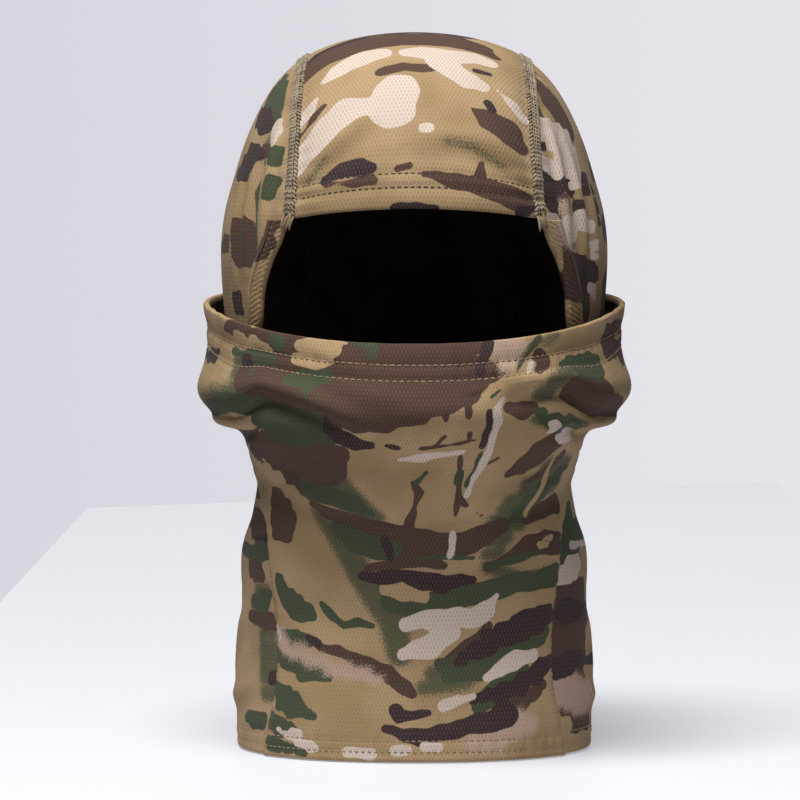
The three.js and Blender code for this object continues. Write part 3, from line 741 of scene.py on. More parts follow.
LEFT_PRINT: Print = {
    Ink.SHADE: (
        ((69, 191, 2), (70, 186, 2)),
    ),
    Ink.BROWN: (
        ((64, 203, 4), (66, 195, 5), (67.5, 186, 5)),
        ((50, 282, 3), (54, 275, 5), (60, 267, 6), (65, 259, 4)),
        ((66, 67, 7), (64, 57, 7.5), (66, 46, 7), (64, 37, 6), (66, 24, 6), (70, 14, 5)),
        ((59.5, 229.6, 3), (62, 226, 2.4)),
    ),
    Ink.GREEN: (
        ((49.5, 269.4, 2), (53, 264.4, 1.4)),
        ((60, 258.6, 1.4), (62.4, 255, 1.6)),
        ((62, 101, 3.6), (64, 92, 6), (64, 82, 6), (60, 76, 4)),
        ((62.6, 222.6, 2.2), (62.6, 222, 2.2)),
        ((64.4, 211.6, 2.2), (64.4, 211, 2.2)),
        ((69, 190.6, 2.2), (69, 187, 2)),
    ),
    Ink.ROSE: (
        ((60, 26, 5), (67, 26, 5), (71, 20, 4)),
        ((60, 229.5, 2), (62.5, 226, 2)),
        ((60, 215, 3.4), (63, 207, 3.4)),
    ),
    Ink.TAN: (
        ((50, 282.6, 0.6), (55, 278.6, 0.9)),
        ((62.5, 14, 2), (63, 11, 2.2)),
    ),
    Ink.DARK: (
        ((55.5, 222, 3.4), (58.6, 218, 3)),
        ((50.4, 257.4, 3), (53.4, 253, 2.4)),
        ((50, 243, 3), (53, 236.4, 4), (57, 229.4, 3.4), (58.4, 226, 1.8)),
        ((57, 238.4, 3), (57.4, 237, 2.8)),
        ((62.4, 239.4, 2), (64.2, 234, 2)),
        ((69.6, 239, 2.2), (71, 232.6, 1.2)),
        ((73, 238, 0.9), (75.6, 229, 1.5), (77.4, 221, 1.1)),
        ((68, 228.4, 2), (68.4, 228, 1.8)),
        ((66, 207.6, 2.4), (69, 202.4, 4), (74, 200.4, 3), (70.4, 195, 3)),
        ((62, 60, 3), (66, 58.4, 3.6), (68.4, 61.4, 2)),
        ((58, 37, 2.4), (63, 35.4, 3.6), (66.4, 41.4, 2.2), (70, 37, 2.4)),
    ),
    Ink.CREAM: (
        ((53, 261.4, 3.2), (59, 256.4, 4.4), (63, 249.4, 4.4), (66, 242.4, 3.4),
         (67.4, 235.6, 1.8)),
        ((48.6, 248.6, 1.8), (54, 245.4, 2.8), (58.4, 241.4, 2.2)),
        ((56.4, 224.4, 2.2), (59.2, 219, 2.6), (62.4, 213, 1.8)),
        ((64, 220, 2.8), (64.6, 215.4, 2.4)),
        ((69.2, 224, 2.8), (72.2, 219, 2.4)),
        ((74.6, 213, 1.6), (75, 207, 1.6)),
        ((73.6, 194.6, 2.1), (74.6, 189.4, 0.8)),
        ((61.4, 109, 1.8), (62, 105.4, 1.6)),
        ((65, 87, 1.2), (66, 85, 1.2)),
        ((67.6, 79.6, 3), (64.4, 75.4, 3.6), (61, 73.4, 3)),
    ),
}
SIDE_PRINT = {Side.RIGHT: RIGHT_PRINT, Side.LEFT: LEFT_PRINT}


def chains(table: Print) -> list[tuple[Ink, tuple[Spot, ...]]]:
    """Every chain of spots in a table, with its ink."""
    return [(ink, spots) for ink, group in table.items() for spots in group]


# -------------------- cloth patches


@dataclass
class Patch:
    """A grid of surface points with its normals, which panels and threads are laid on."""

    u: Array
    v: Array
    points: Array
    normals: Array = field(init=False)

    def __post_init__(self) -> None:
        """Finds the outward normals of the grid."""
        self.refresh()

    def refresh(self) -> None:
        """Works out the normals again after the points move."""
        along_u = np.gradient(self.points, axis=1)
        along_v = np.gradient(self.points, axis=0)
        normals = unit(np.cross(along_u, along_v))
        if (normals * from_axis(self.points)).sum() < 0:
            normals = -normals
        self.normals = normals

    def move(self, lift: Array) -> None:
        """Moves every point along its normal."""
        self.points = self.points + self.normals * lift[..., None]
        self.refresh()

    def sample(self, u: Array, v: Array) -> tuple[Array, Array]:
        """Points and normals at places given in the grid's own two parameters.

        Args:
            u: Places along the grid's columns.
            v: Places along the grid's rows.

        Returns:
            Points, and unit normals.
        """
        column = np.interp(u, self.u, np.arange(len(self.u)))
        row = np.interp(v, self.v, np.arange(len(self.v)))
        i0 = np.clip(np.floor(row).astype(int), 0, len(self.v) - 2)
        j0 = np.clip(np.floor(column).astype(int), 0, len(self.u) - 2)
        a, b = (row - i0)[..., None], (column - j0)[..., None]

        def mix(grid: Array) -> Array:
            """Mix of the four grid corners round each place."""
            low = grid[i0, j0] * (1 - b) + grid[i0, j0 + 1] * b
            high = grid[i0 + 1, j0] * (1 - b) + grid[i0 + 1, j0 + 1] * b
            return low * (1 - a) + high * a

        return mix(self.points), unit(mix(self.normals))


def make_mesh(name: str, points: Array, faces: Iterable[Sequence[int]]) -> bpy.types.Object:
    """New object from points in millimetres.

    Args:
        name: The piece's name.
        points: Points in the form's frame, one a row.
        faces: Corner numbers of each face.

    Returns:
        The object, at the origin.
    """
    mesh = bpy.data.meshes.new(name)
    moved = points.reshape(-1, 3) + np.array([0.0, FORM.shift_y, 0.0])
    mesh.from_pydata((moved * MM).tolist(), [], [tuple(int(i) for i in f) for f in faces])
    mesh.update()
    piece = bpy.data.objects.new(name, mesh)
    bpy.context.scene.collection.objects.link(piece)
    for polygon in mesh.polygons:
        polygon.use_smooth = True
    return piece


def pick(piece: bpy.types.Object) -> None:
    """Makes a piece the only selected and active one."""
    bpy.ops.object.select_all(action="DESELECT")
    piece.select_set(True)
    bpy.context.view_layer.objects.active = piece


def thicken(piece: bpy.types.Object, thickness: float, inside: int = 0) -> None:
    """Gives a sheet its wall, inwards, with the inside in a later material slot."""
    wall = piece.modifiers.new("Wall", "SOLIDIFY")
    wall.thickness = thickness * MM
    wall.offset = -1.0
    wall.material_offset = inside
    pick(piece)
    bpy.ops.object.modifier_apply(modifier=wall.name)


# -------------------- finishes


class Nodes:
    """Adds and joins shader nodes in one tree."""

    def __init__(self, tree: bpy.types.NodeTree) -> None:
        """Starts with an empty tree."""
        self.tree = tree
        tree.nodes.clear()

    def add(self, kind: str, **settings: object) -> bpy.types.Node:
        """New node with its settings."""
        node = self.tree.nodes.new(kind)
        for key, value in settings.items():
            setattr(node, key, value)
        return node

    def link(self, source: bpy.types.NodeSocket, target: bpy.types.NodeSocket) -> None:
        """Joins two sockets."""
        self.tree.links.new(source, target)

    def feed(self, socket: bpy.types.NodeSocket, value: object) -> None:
        """Gives a socket a value or another node's output."""
        if isinstance(value, bpy.types.NodeSocket):
            self.link(value, socket)
        else:
            socket.default_value = value

    def math(self, operation: str, *values: object) -> bpy.types.NodeSocket:
        """Result of a math node on sockets or numbers."""
        node = self.add("ShaderNodeMath", operation=operation)
        for socket, value in zip(node.inputs, values):
            self.feed(socket, value)
        return node.outputs[0]

    def ramp(self, value: object, low: float, high: float, to: Point = (0.0, 1.0)) -> bpy.types.NodeSocket:
        """Smooth step of a value between two limits, as numbers in to."""
        node = self.add("ShaderNodeMapRange", interpolation_type="SMOOTHSTEP")
        names = ("Value", "From Min", "From Max", "To Min", "To Max")
        for name, given in zip(names, (value, low, high, *to)):
            self.feed(node.inputs[name], given)
        return node.outputs[0]

    def mix(self, share: object, first: object, second: object) -> bpy.types.NodeSocket:
        """Mix of two colours."""
        node = self.add("ShaderNodeMix", data_type="RGBA")
        self.feed(node.inputs["Factor"], share)
        self.feed(node.inputs[6], first)
        self.feed(node.inputs[7], second)
        return node.outputs[2]

    def noise(self, vector: object, scale: float, detail: float = 2.0) -> bpy.types.NodeSocket:
        """Noise value at a vector."""
        node = self.add("ShaderNodeTexNoise")
        self.feed(node.inputs["Vector"], vector)
        node.inputs["Scale"].default_value = scale
        node.inputs["Detail"].default_value = detail
        return node.outputs[0]

    def split(self, vector: object) -> bpy.types.NodeOutputs:
        """The three parts of a vector."""
        node = self.add("ShaderNodeSeparateXYZ")
        self.feed(node.inputs[0], vector)
        return node.outputs

    def place(self) -> bpy.types.NodeSocket:
        """Places in the object's own frame."""
        return self.add("ShaderNodeTexCoord").outputs["Object"]

    def relief(self, height: object, strength: float, depth: float) -> bpy.types.NodeSocket:
        """Normals of a surface with fine heights, the depth in millimetres."""
        node = self.add("ShaderNodeBump")
        node.inputs["Strength"].default_value = strength
        node.inputs["Distance"].default_value = depth * MM
        self.feed(node.inputs["Height"], height)
        return node.outputs[0]


def new_material(name: str) -> tuple[bpy.types.Material, Nodes, bpy.types.NodeInputs]:
    """New material with one shader.

    Args:
        name: The material's name.

    Returns:
        The material, its nodes, and the shader's inputs.
    """
    material = bpy.data.materials.new(name)
    material.use_nodes = True
    nodes = Nodes(material.node_tree)
    output = nodes.add("ShaderNodeOutputMaterial")
    shader = nodes.add("ShaderNodeBsdfPrincipled")
    nodes.link(shader.outputs[0], output.inputs[0])
    return material, nodes, shader.inputs


def new_group(name: str, inputs: dict[str, str], outputs: dict[str, str]) -> tuple[Nodes, dict, dict]:
    """New shader node group.

    Args:
        name: The group's name.
        inputs: Socket types by name.
        outputs: Socket types by name.

    Returns:
        The group's nodes, its input sockets and its output sockets, by name.
    """
    tree = bpy.data.node_groups.new(name, "ShaderNodeTree")
    for label, kind in inputs.items():
        tree.interface.new_socket(label, in_out="INPUT", socket_type=kind)
    for label, kind in outputs.items():
        tree.interface.new_socket(label, in_out="OUTPUT", socket_type=kind)
    nodes = Nodes(tree)
    source = nodes.add("NodeGroupInput")
    target = nodes.add("NodeGroupOutput")
    return (
        nodes,
        {label: source.outputs[label] for label in inputs},
        {label: target.inputs[label] for label in outputs},
    )


NUMBER = "NodeSocketFloat"
COLOUR = "NodeSocketColor"
VECTOR = "NodeSocketVector"


@dataclass(frozen=True)
class Palette:
    """The printed colours, as display colours."""

    tan: tuple[int, int, int] = (160, 135, 101)
    deep_tan: tuple[int, int, int] = (144, 120, 86)
    green: tuple[int, int, int] = (60, 69, 51)
    brown: tuple[int, int, int] = (74, 55, 47)
    rose: tuple[int, int, int] = (172, 146, 130)
    dark: tuple[int, int, int] = (54, 41, 43)
    cream: tuple[int, int, int] = (190, 173, 160)
    hole: tuple[int, int, int] = (110, 92, 76)


def knit_group() -> bpy.types.NodeTree:
    """Bird's-eye knit: short upright holes in staggered rows, on flat cloth places in millimetres."""
    inputs = {"Place": VECTOR, "Across": NUMBER, "Up": NUMBER}
    nodes, given, out = new_group("birds_eye_knit", inputs, {"Hole": NUMBER, "Height": NUMBER})
    place = nodes.split(given["Place"])
    across = nodes.math("DIVIDE", place[0], given["Across"])
    up = nodes.math("DIVIDE", place[1], given["Up"])
    odd = nodes.math("MULTIPLY", nodes.math("PINGPONG", nodes.math("FLOOR", up), 1.0), 0.5)
    local_u = nodes.math("SUBTRACT", nodes.math("FRACT", nodes.math("ADD", across, odd)), 0.5)
    local_v = nodes.math("SUBTRACT", nodes.math("FRACT", up), 0.5)
    wide = nodes.math("POWER", nodes.math("ABSOLUTE", nodes.math("DIVIDE", local_u, 0.2)), 2.0)
    tall = nodes.math("POWER", nodes.math("ABSOLUTE", nodes.math("DIVIDE", local_v, 0.46)), 2.0)
    hole = nodes.ramp(nodes.math("ADD", wide, tall), 0.35, 1.35, (1.0, 0.0))
    nodes.link(hole, out["Hole"])
    loops = nodes.math("COSINE", nodes.math("MULTIPLY", across, 4.0 * math.pi))
    raised = nodes.math("SUBTRACT", nodes.math("MULTIPLY", loops, 0.12), hole)
    nodes.link(raised, out["Height"])
    return nodes.tree


def print_group(palette: Palette) -> bpy.types.NodeTree:
    """Four-colour camouflage print from edge distances, with speckled fades, over mottled tan."""
    inks = {ink.name.title(): NUMBER for ink in Ink}
    nodes, given, out = new_group("camouflage_print", {"Place": VECTOR, **inks}, {"Color": COLOUR})
    place = given["Place"]
    wobble = nodes.math("MULTIPLY", nodes.math("SUBTRACT", nodes.noise(place, 0.13, 0.0), 0.5), 2.6)
    speckle = nodes.math("SUBTRACT", nodes.noise(place, 1.7, 1.0), 0.5)
    mottle = nodes.noise(place, 0.03)
    colour = nodes.mix(nodes.ramp(mottle, 0.35, 0.65), linear(*palette.tan), linear(*palette.deep_tan))

    def fade(ink: Ink, strength: float) -> bpy.types.NodeSocket:
        """Speckled mask that dies out slowly."""
        grain = nodes.math("MULTIPLY", speckle, 1.5)
        mask = nodes.ramp(nodes.math("ADD", given[ink.name.title()], grain), 0.32, 0.78)
        return nodes.math("MULTIPLY", mask, strength)

    def edge(ink: Ink) -> bpy.types.NodeSocket:
        """Crisp mask of one ink."""
        return nodes.ramp(nodes.math("ADD", given[ink.name.title()], wobble), -0.22, 0.22)

    layers = (
        (fade(Ink.SHADE, 0.88), palette.green),
        (edge(Ink.BROWN), palette.brown),
        (edge(Ink.GREEN), palette.green),
        (fade(Ink.ROSE, 0.9), palette.rose),
        (edge(Ink.TAN), palette.tan),
        (edge(Ink.DARK), palette.dark),
        (edge(Ink.CREAM), palette.cream),
    )
    for mask, dye in layers:
        colour = nodes.mix(mask, colour, linear(*dye))
    nodes.link(colour, out["Color"])
    return nodes.tree


@dataclass(frozen=True)
class KnitFinish:
    """Printed knit for one panel."""

    name: str
    roughness: float = 0.86
    inside: bool = False

    def material(self, library: "FinishLibrary") -> bpy.types.Material:
        """Builds the panel's material.

        Args:
            library: The shared groups and colours.

        Returns:
            The material.
        """
        material, nodes, shader = new_material(self.name)
        shader["Sheen Weight"].default_value = 0.03
        shader["Sheen Roughness"].default_value = 0.5
        shader["Specular IOR Level"].default_value = 0.12
        flat = nodes.add("ShaderNodeUVMap", uv_map="Cloth")
        scaled = nodes.add("ShaderNodeVectorMath", operation="SCALE")
        nodes.link(flat.outputs[0], scaled.inputs[0])
        scaled.inputs["Scale"].default_value = 1.0 / MM
        millimetres = scaled.outputs[0]
        knit = nodes.add("ShaderNodeGroup", node_tree=library.knit)
        nodes.link(millimetres, knit.inputs["Place"])
        knit.inputs["Across"].default_value = library.pitch_across
        knit.inputs["Up"].default_value = library.pitch_up
        fuzz = nodes.noise(millimetres, 2.2, 3.0)
        if self.inside:
            # Painted shade: the reverse is a dull dark grey-brown, partly the print showing through and
            # partly shade painted in so the inside stays dark.
            tone = nodes.ramp(nodes.noise(millimetres, 0.05), 0.3, 0.7)
            colour = nodes.mix(tone, linear(74, 66, 56), linear(58, 52, 46))
        else:
            dye = nodes.add("ShaderNodeGroup", node_tree=library.dye)
            nodes.link(millimetres, dye.inputs["Place"])
            for ink in Ink:
                value = nodes.add("ShaderNodeAttribute", attribute_name=ink.value)
                nodes.link(value.outputs["Fac"], dye.inputs[ink.name.title()])
            colour = dye.outputs[0]
        holes = nodes.math("MULTIPLY", knit.outputs["Hole"], 0.3)
        colour = nodes.mix(holes, colour, linear(*library.palette.hole))
        tone = nodes.ramp(fuzz, 0.25, 0.75, (0.9, 1.08))
        vary = nodes.add("ShaderNodeHueSaturation")
        nodes.link(colour, vary.inputs["Color"])
        nodes.link(tone, vary.inputs["Value"])
        nodes.link(vary.outputs[0], shader["Base Color"])
        rough = nodes.ramp(fuzz, 0.3, 0.7, (self.roughness - 0.06, self.roughness + 0.06))
        nodes.link(rough, shader["Roughness"])
        height = nodes.math("ADD", knit.outputs["Height"], nodes.math("MULTIPLY", fuzz, 0.5))
        nodes.link(nodes.relief(height, 0.5, 0.25), shader["Normal"])
        return material


@dataclass(frozen=True)
class ThreadFinish:
    """Sewing thread with a soft sheen and a fine twist."""

    name: str
    light: tuple[int, int, int]
    deep: tuple[int, int, int]

    def material(self) -> bpy.types.Material:
        """Builds the thread's material."""
        material, nodes, shader = new_material(self.name)
        shader["Sheen Weight"].default_value = 0.2
        place = nodes.place()
        slow = nodes.noise(place, 160.0)
        fine = nodes.noise(place, 2600.0)
        grain = nodes.math("ADD", nodes.math("MULTIPLY", slow, 0.6), nodes.math("MULTIPLY", fine, 0.4))
        tone = nodes.ramp(grain, 0.35, 0.65)
        nodes.link(nodes.mix(tone, linear(*self.deep), linear(*self.light)), shader["Base Color"])
        nodes.link(nodes.ramp(fine, 0.3, 0.7, (0.62, 0.8)), shader["Roughness"])
        nodes.link(nodes.relief(fine, 0.4, 0.1), shader["Normal"])
        return material


class FinishLibrary:
    """The shared groups, and one material for each finish."""

    pitch_across = 1.55
    pitch_up = 1.85

    def __init__(self) -> None:
        """Builds the groups and the materials."""
        self.palette = Palette()
        self.knit = knit_group()
        self.dye = print_group(self.palette)
        self.printed = KnitFinish("printed_knit").material(self)
        self.reverse = KnitFinish("knit_reverse", inside=True).material(self)
        self.braid = ThreadFinish("seam_braid", (142, 126, 100), (98, 84, 64)).material()
        self.khaki = ThreadFinish("khaki_thread", (146, 124, 92), (108, 90, 64)).material()
        self.umber = ThreadFinish("umber_thread", (62, 48, 42), (42, 32, 28)).material()


def dress(piece: bpy.types.Object, *materials: bpy.types.Material) -> None:
    """Gives a piece its materials, in the order of its material slots."""
    piece.data.materials.clear()
    for material in materials:
        piece.data.materials.append(material)


def stand_for(piece: bpy.types.Object, node: str) -> bpy.types.Object:
    """Hides the frame's node that a piece stands in for, and returns the piece."""
    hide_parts(node)
    return piece


# -------------------- sheets


@dataclass
class Sheet:
    """A panel of knit: its patch, its folds and print. Its first row is turned under, or both ends."""

    name: str
    patch: Patch
    flat_u: Array
    flat_v: Array
    folds: Sequence[Fold]
    motifs: Sequence[Motif]
    turn_last_row: bool = False
    roll: float = 1.15
    thickness: float = 0.75

    def _wrinkle(self) -> None:
        """Raises the folds."""
        lift = np.zeros(self.flat_u.shape)
        for fold in self.folds:
            lift += fold.lift(self.flat_u, self.flat_v)
        self.patch.move(lift)

    def _roll_over(self, grid: Array, flat: Array) -> tuple[Array, Array]:
        """Adds rows that turn the first row's edge under.

        Args:
            grid: Points of the sheet.
            flat: Flat places, two a point.

        Returns:
            The longer grids of points and flat places.
        """
        edge, inner = grid[0], grid[1]
        away = unit(edge - inner)
        normals = self._edge_normals(grid)
        beyond = unit(flat[0] - flat[1])
        rows, places = [], []
        for turn in np.linspace(0.0, math.pi, 8)[1:]:
            rows.append(edge + away * self.roll * math.sin(turn) - normals * self.roll * (1 - math.cos(turn)))
            places.append(flat[0] + beyond * self.roll * turn)
        under = rows[-1]
        for step in (1.2, 2.6):
            rows.append(under - away * step)
            places.append(flat[0] + beyond * (self.roll * math.pi + step))
        return np.concatenate([np.array(rows[::-1]), grid]), np.concatenate([np.array(places[::-1]), flat])

    @staticmethod
    def _edge_normals(grid: Array) -> Array:
        """Outward normals of a grid's first row."""
        along = np.gradient(grid[0], axis=0)
        away = grid[0] - grid[1]
        normals = unit(np.cross(along, away))
        if (normals * from_axis(grid[0])).sum() < 0:
            normals = -normals
        return normals

    def build(self, finishes: FinishLibrary) -> bpy.types.Object:
        """Wrinkles the patch and makes the sheet's mesh, with its flat map, its inks and its wall.

        Args:
            finishes: The materials.

        Returns:
            The finished piece.
        """
        self._wrinkle()
        flat = np.stack([self.flat_u, self.flat_v], axis=-1)
        grid, flat = self._roll_over(self.patch.points, flat)
        if self.turn_last_row:
            grid, flat = self._roll_over(grid[::-1], flat[::-1])
            grid, flat = grid[::-1], flat[::-1]
        piece = grid_object(self.name, grid)
        lay_flat_map(piece, flat)
        ink_fields(piece, flat, self.motifs)
        dress(piece, finishes.printed, finishes.reverse)
        thicken(piece, self.thickness, 1)
        return piece


def grid_object(name: str, grid: Array) -> bpy.types.Object:
    """Object of a grid of points, with its faces pointing away from the head's axis."""
    rows, columns = grid.shape[:2]
    number = np.arange(rows * columns).reshape(rows, columns)
    a, b = number[:-1, :-1].ravel(), number[:-1, 1:].ravel()
    c, d = number[1:, 1:].ravel(), number[1:, :-1].ravel()
    corners = grid.reshape(-1, 3)
    normals = np.cross(corners[b] - corners[a], corners[d] - corners[a])
    faces = np.stack([a, b, c, d], axis=1)
    if (normals * from_axis(corners[a])).sum() < 0:
        faces = faces[:, ::-1]
    return make_mesh(name, corners, faces)


def lay_flat_map(piece: bpy.types.Object, flat: Array) -> None:
    """Stores the flat places as the cloth map, in metres."""
    layer = piece.data.uv_layers.new(name="Cloth")
    corners = np.empty(len(piece.data.loops), np.int32)
    piece.data.loops.foreach_get("vertex_index", corners)
    layer.data.foreach_set("uv", (flat.reshape(-1, 2)[corners] * MM).astype(np.float32).ravel())


def ink_fields(piece: bpy.types.Object, flat: Array, motifs: Sequence[Motif]) -> None:
    """Stores each ink on a piece's points: the distance inside its edge, or how far it has faded.

    Args:
        piece: The piece.
        flat: Its flat places.
        motifs: The shapes.
    """
    u, v = flat[..., 0].ravel(), flat[..., 1].ravel()
    for ink in Ink:
        soft = ink in (Ink.SHADE, Ink.ROSE)
        value = np.full(u.shape, 0.0 if soft else -9.0)
        for motif in motifs:
            if motif.ink is ink:
                reach = motif.field(u, v)
                value = np.maximum(value, smooth(reach, -5.0, 4.0) if soft else reach)
        attribute = piece.data.attributes.new(ink.value, "FLOAT", "POINT")
        attribute.data.foreach_set("value", np.clip(value, -9.0, 9.0).astype(np.float32))


def band(name: str, patch: Patch, across: Point, up: Point, offset: float, finishes: FinishLibrary,
         counts: tuple[int, int] = (90, 10)) -> bpy.types.Object:
    """A strip of turned-in knit that follows a patch.

    Args:
        name: The piece's name.
        patch: What it follows.
        across: First and last column place.
        up: First and last row place.
        offset: How far it lies out from the patch.
        finishes: The materials.
        counts: Columns and rows.

    Returns:
        The finished piece.
    """
    u, v = np.meshgrid(np.linspace(*across, counts[0]), np.linspace(*up, counts[1]))
    points, normals = patch.sample(u, v)
    grid = points + normals * offset
    piece = grid_object(name, grid)
    steps = np.linalg.norm(np.diff(grid, axis=1), axis=-1).mean()
    rise = np.linalg.norm(np.diff(grid, axis=0), axis=-1).mean()
    flat = np.stack(np.meshgrid(np.arange(counts[0]) * steps, np.arange(counts[1]) * rise), axis=-1)
    lay_flat_map(piece, flat)
    thicken(piece, BAND_WALL)
    dress(piece, finishes.reverse)
    return piece


# -------------------- threads


@dataclass(frozen=True)
class Track:
    """A path over one patch, given in the patch's own parameters."""

    patch: Patch
    u: Array
    v: Array

    def stations(self, pitch: float) -> tuple[Array, Array, Array]:
        """Evenly spaced places along the path.

        Args:
            pitch: Distance between places.

        Returns:
            Points, normals and forward directions.
        """
        points, normals = self.patch.sample(self.u, self.v)
        length = np.r_[0.0, np.cumsum(np.linalg.norm(np.diff(points, axis=0), axis=1))]
        at = np.arange(0.5 * pitch, length[-1], pitch)

        def along(values: Array) -> Array:
            """Values read at the even places."""
            return np.stack([np.interp(at, length, values[:, k]) for k in range(3)], axis=1)

        ahead = unit(np.gradient(points, axis=0))
        return along(points), unit(along(normals)), unit(along(ahead))


@dataclass(frozen=True)
class Stitch:
    """One stitch of thread, repeated along a track."""

    length: float
    radius: float
    pitch: float
    lift: float = 0.2
    slant: float = 0.0
    across: float = 0.0
    dip: float = 0.25
    wander: float = 0.0

    def model(self) -> tuple[Array, list[tuple[int, ...]]]:
        """Shapes one stitch: a ball drawn out, with its ends pressed into the cloth."""
        bpy.ops.object.select_all(action="DESELECT")
        bpy.ops.mesh.primitive_uv_sphere_add(segments=8, ring_count=7, radius=1.0)
        ball = bpy.context.object
        bpy.ops.object.mode_set(mode="EDIT")
        bpy.ops.mesh.select_all(action="SELECT")
        bpy.ops.transform.resize(value=(1.0, 1.0, 0.5 * self.length / self.radius))
        bpy.ops.object.mode_set(mode="OBJECT")
        mesh = ball.data
        points = np.array([v.co for v in mesh.vertices]) * self.radius
        points = points[:, [2, 0, 1]]
        points[:, 2] -= self.dip * (2.0 * points[:, 0] / self.length) ** 2
        faces = [tuple(p.vertices) for p in mesh.polygons]
        bpy.data.objects.remove(ball)
        bpy.data.meshes.remove(mesh)
        return points, faces

    def along(self, tracks: Sequence[Track], seed: int = 3) -> tuple[Array, list[tuple[int, ...]]]:
        """Copies of the stitch along tracks.

        Args:
            tracks: Where the stitches run.
            seed: Seed of the small differences between stitches.

        Returns:
            All the points, and all the faces.
        """
        shape, faces = self.model()
        rng = np.random.default_rng(seed)
        points, polygons, start = [], [], 0
        turn = math.radians(self.slant)
        for track in tracks:
            at, normal, ahead = track.stations(self.pitch)
            side = unit(np.cross(normal, ahead))
            ahead = unit(np.cross(side, normal))
            lean = turn + rng.normal(0.0, 0.06, len(at))[:, None]
            run = ahead * np.cos(lean) + side * np.sin(lean)
            cross = side * np.cos(lean) - ahead * np.sin(lean)
            across = self.across + rng.normal(0.0, self.wander, len(at))[:, None]
            middle = at + side * across + normal * self.lift
            size = rng.uniform(0.93, 1.07, len(at))
            for i in range(len(at)):
                axes = np.stack([run[i], cross[i], normal[i]])
                points.append(middle[i] + (shape * size[i]) @ axes)
                polygons.extend(tuple(start + k for k in face) for face in faces)
                start += len(shape)
        return np.concatenate(points), polygons


def thread_piece(name: str, runs: Sequence[tuple[Stitch, Sequence[Track]]],
                 material: bpy.types.Material) -> bpy.types.Object:
    """One piece made of several runs of stitches.

    Args:
        name: The piece's name.
        runs: Each kind of stitch with its tracks.
        material: The thread.

    Returns:
        The finished piece.
    """
    points, polygons, start = [], [], 0
    for seed, (stitch, tracks) in enumerate(runs):
        some, faces = stitch.along(tracks, seed)
        points.append(some)
        polygons.extend(tuple(start + k for k in face) for face in faces)
        start += len(some)
    piece = make_mesh(name, np.concatenate(points), polygons)
    dress(piece, material)
    return piece


# -------------------- sub-assemblies


class Panel:
    """What the sewn panels share: a patch, its flat places, and shapes placed by front view."""

    patch: Patch
    flat_u: Array
    flat_v: Array

    # Where the front ends, and what a place behind it is held to be away by.
    front_end = 30.0
    out_of_sight = 4.0e4
    # How far out the cloth turns away, the finest shape that weaves, and the weave in radii.
    turns_away = 52.0
    fine_line = 1.9
    sway = 0.45
    flank = 0.55
    flank_limit = 1.7
    flank_radius = 0.7

    def spot(self, x: float, z: float) -> Point:
        """Flat place of the cloth seen from the front at a sideways place and a height."""
        points = self.patch.points
        gap = (points[..., 0] - x) ** 2 + (points[..., 2] - z) ** 2
        gap = gap + self.out_of_sight * (points[..., 1] > self.front_end)
        row, column = np.unravel_index(int(np.argmin(gap)), gap.shape)
        return float(self.flat_u[row, column]), float(self.flat_v[row, column])

    def fold(self, start: Point, bend: Point, end: Point, rise: float, width: float, lean: float) -> Fold:
        """A fold whose three points are given as seen from the front."""
        return Fold(self.spot(*start), self.spot(*bend), self.spot(*end), rise, width, lean)

    def shape(self, ink: Ink, *spots: Spot) -> Motif:
        """A printed shape whose spots are given as seen from the front.

        Where the cloth turns away the chain weaves from flank to flank, so the shape keeps its width
        as seen.

        Args:
            ink: Its colour.
            *spots: Its chain: sideways, height and radius.

        Returns:
            The shape in flat places.
        """
        if abs(spots[0][0]) < self.turns_away or max(spot[2] for spot in spots) < self.fine_line:
            return Motif(ink, tuple((*self.spot(x, z), radius) for x, z, radius in spots))
        places = np.array(spots if len(spots) > 1 else spots * 2)
        t = np.linspace(0.0, len(places) - 1.0, 4 * len(places) - 3)
        x, z, radius = (np.interp(t, np.arange(len(places)), places[:, k]) for k in range(3))
        weave = []
        for i in range(len(t)):
            middle = self.spot(x[i], z[i] + self.sway * radius[i] * math.sin(1.9 * i + x[0]))
            limit = self.flank_limit * radius[i]
            for side in (-1.0, 1.0) if i % 2 else (1.0, -1.0):
                flank = self.spot(x[i] + side * self.flank * radius[i], z[i])
                off = float(np.clip(flank[0] - middle[0], -limit, limit))
                weave.append((middle[0] + off, middle[1], self.flank_radius * radius[i]))
        return Motif(ink, tuple(weave))


def arc_lengths(points: Array, axis: int) -> Array:
    """Running length along the rows (axis 1) or columns (axis 0) of a grid."""
    steps = np.linalg.norm(np.diff(points, axis=axis), axis=-1)
    zero = np.zeros_like(steps.take([0], axis=axis))
    return np.concatenate([zero, np.cumsum(steps, axis=axis)], axis=axis)


def puckers(along: Array, gap: Array, rise: float, pitch: float, reach: float, seed: int) -> Array:
    """Small gathers that a row of sewing leaves in the cloth beside it.

    Args:
        along: Places along the sewing.
        gap: Distance from it.
        rise: Height of the gathers.
        pitch: Distance between them.
        reach: How far they run out from the sewing.
        seed: Seed of their uneven spacing.

    Returns:
        The lift.
    """
    rng = np.random.default_rng(seed)
    knots = np.linspace(along.min(), along.max() + 1.0, 40)
    drift = np.interp(along, knots, rng.uniform(-1.6, 1.6, 40))
    strength = np.interp(along, knots, rng.uniform(0.35, 1.0, 40))
    return rise * strength * np.cos(2.0 * math.pi * along / pitch + drift) * bell(gap, reach)


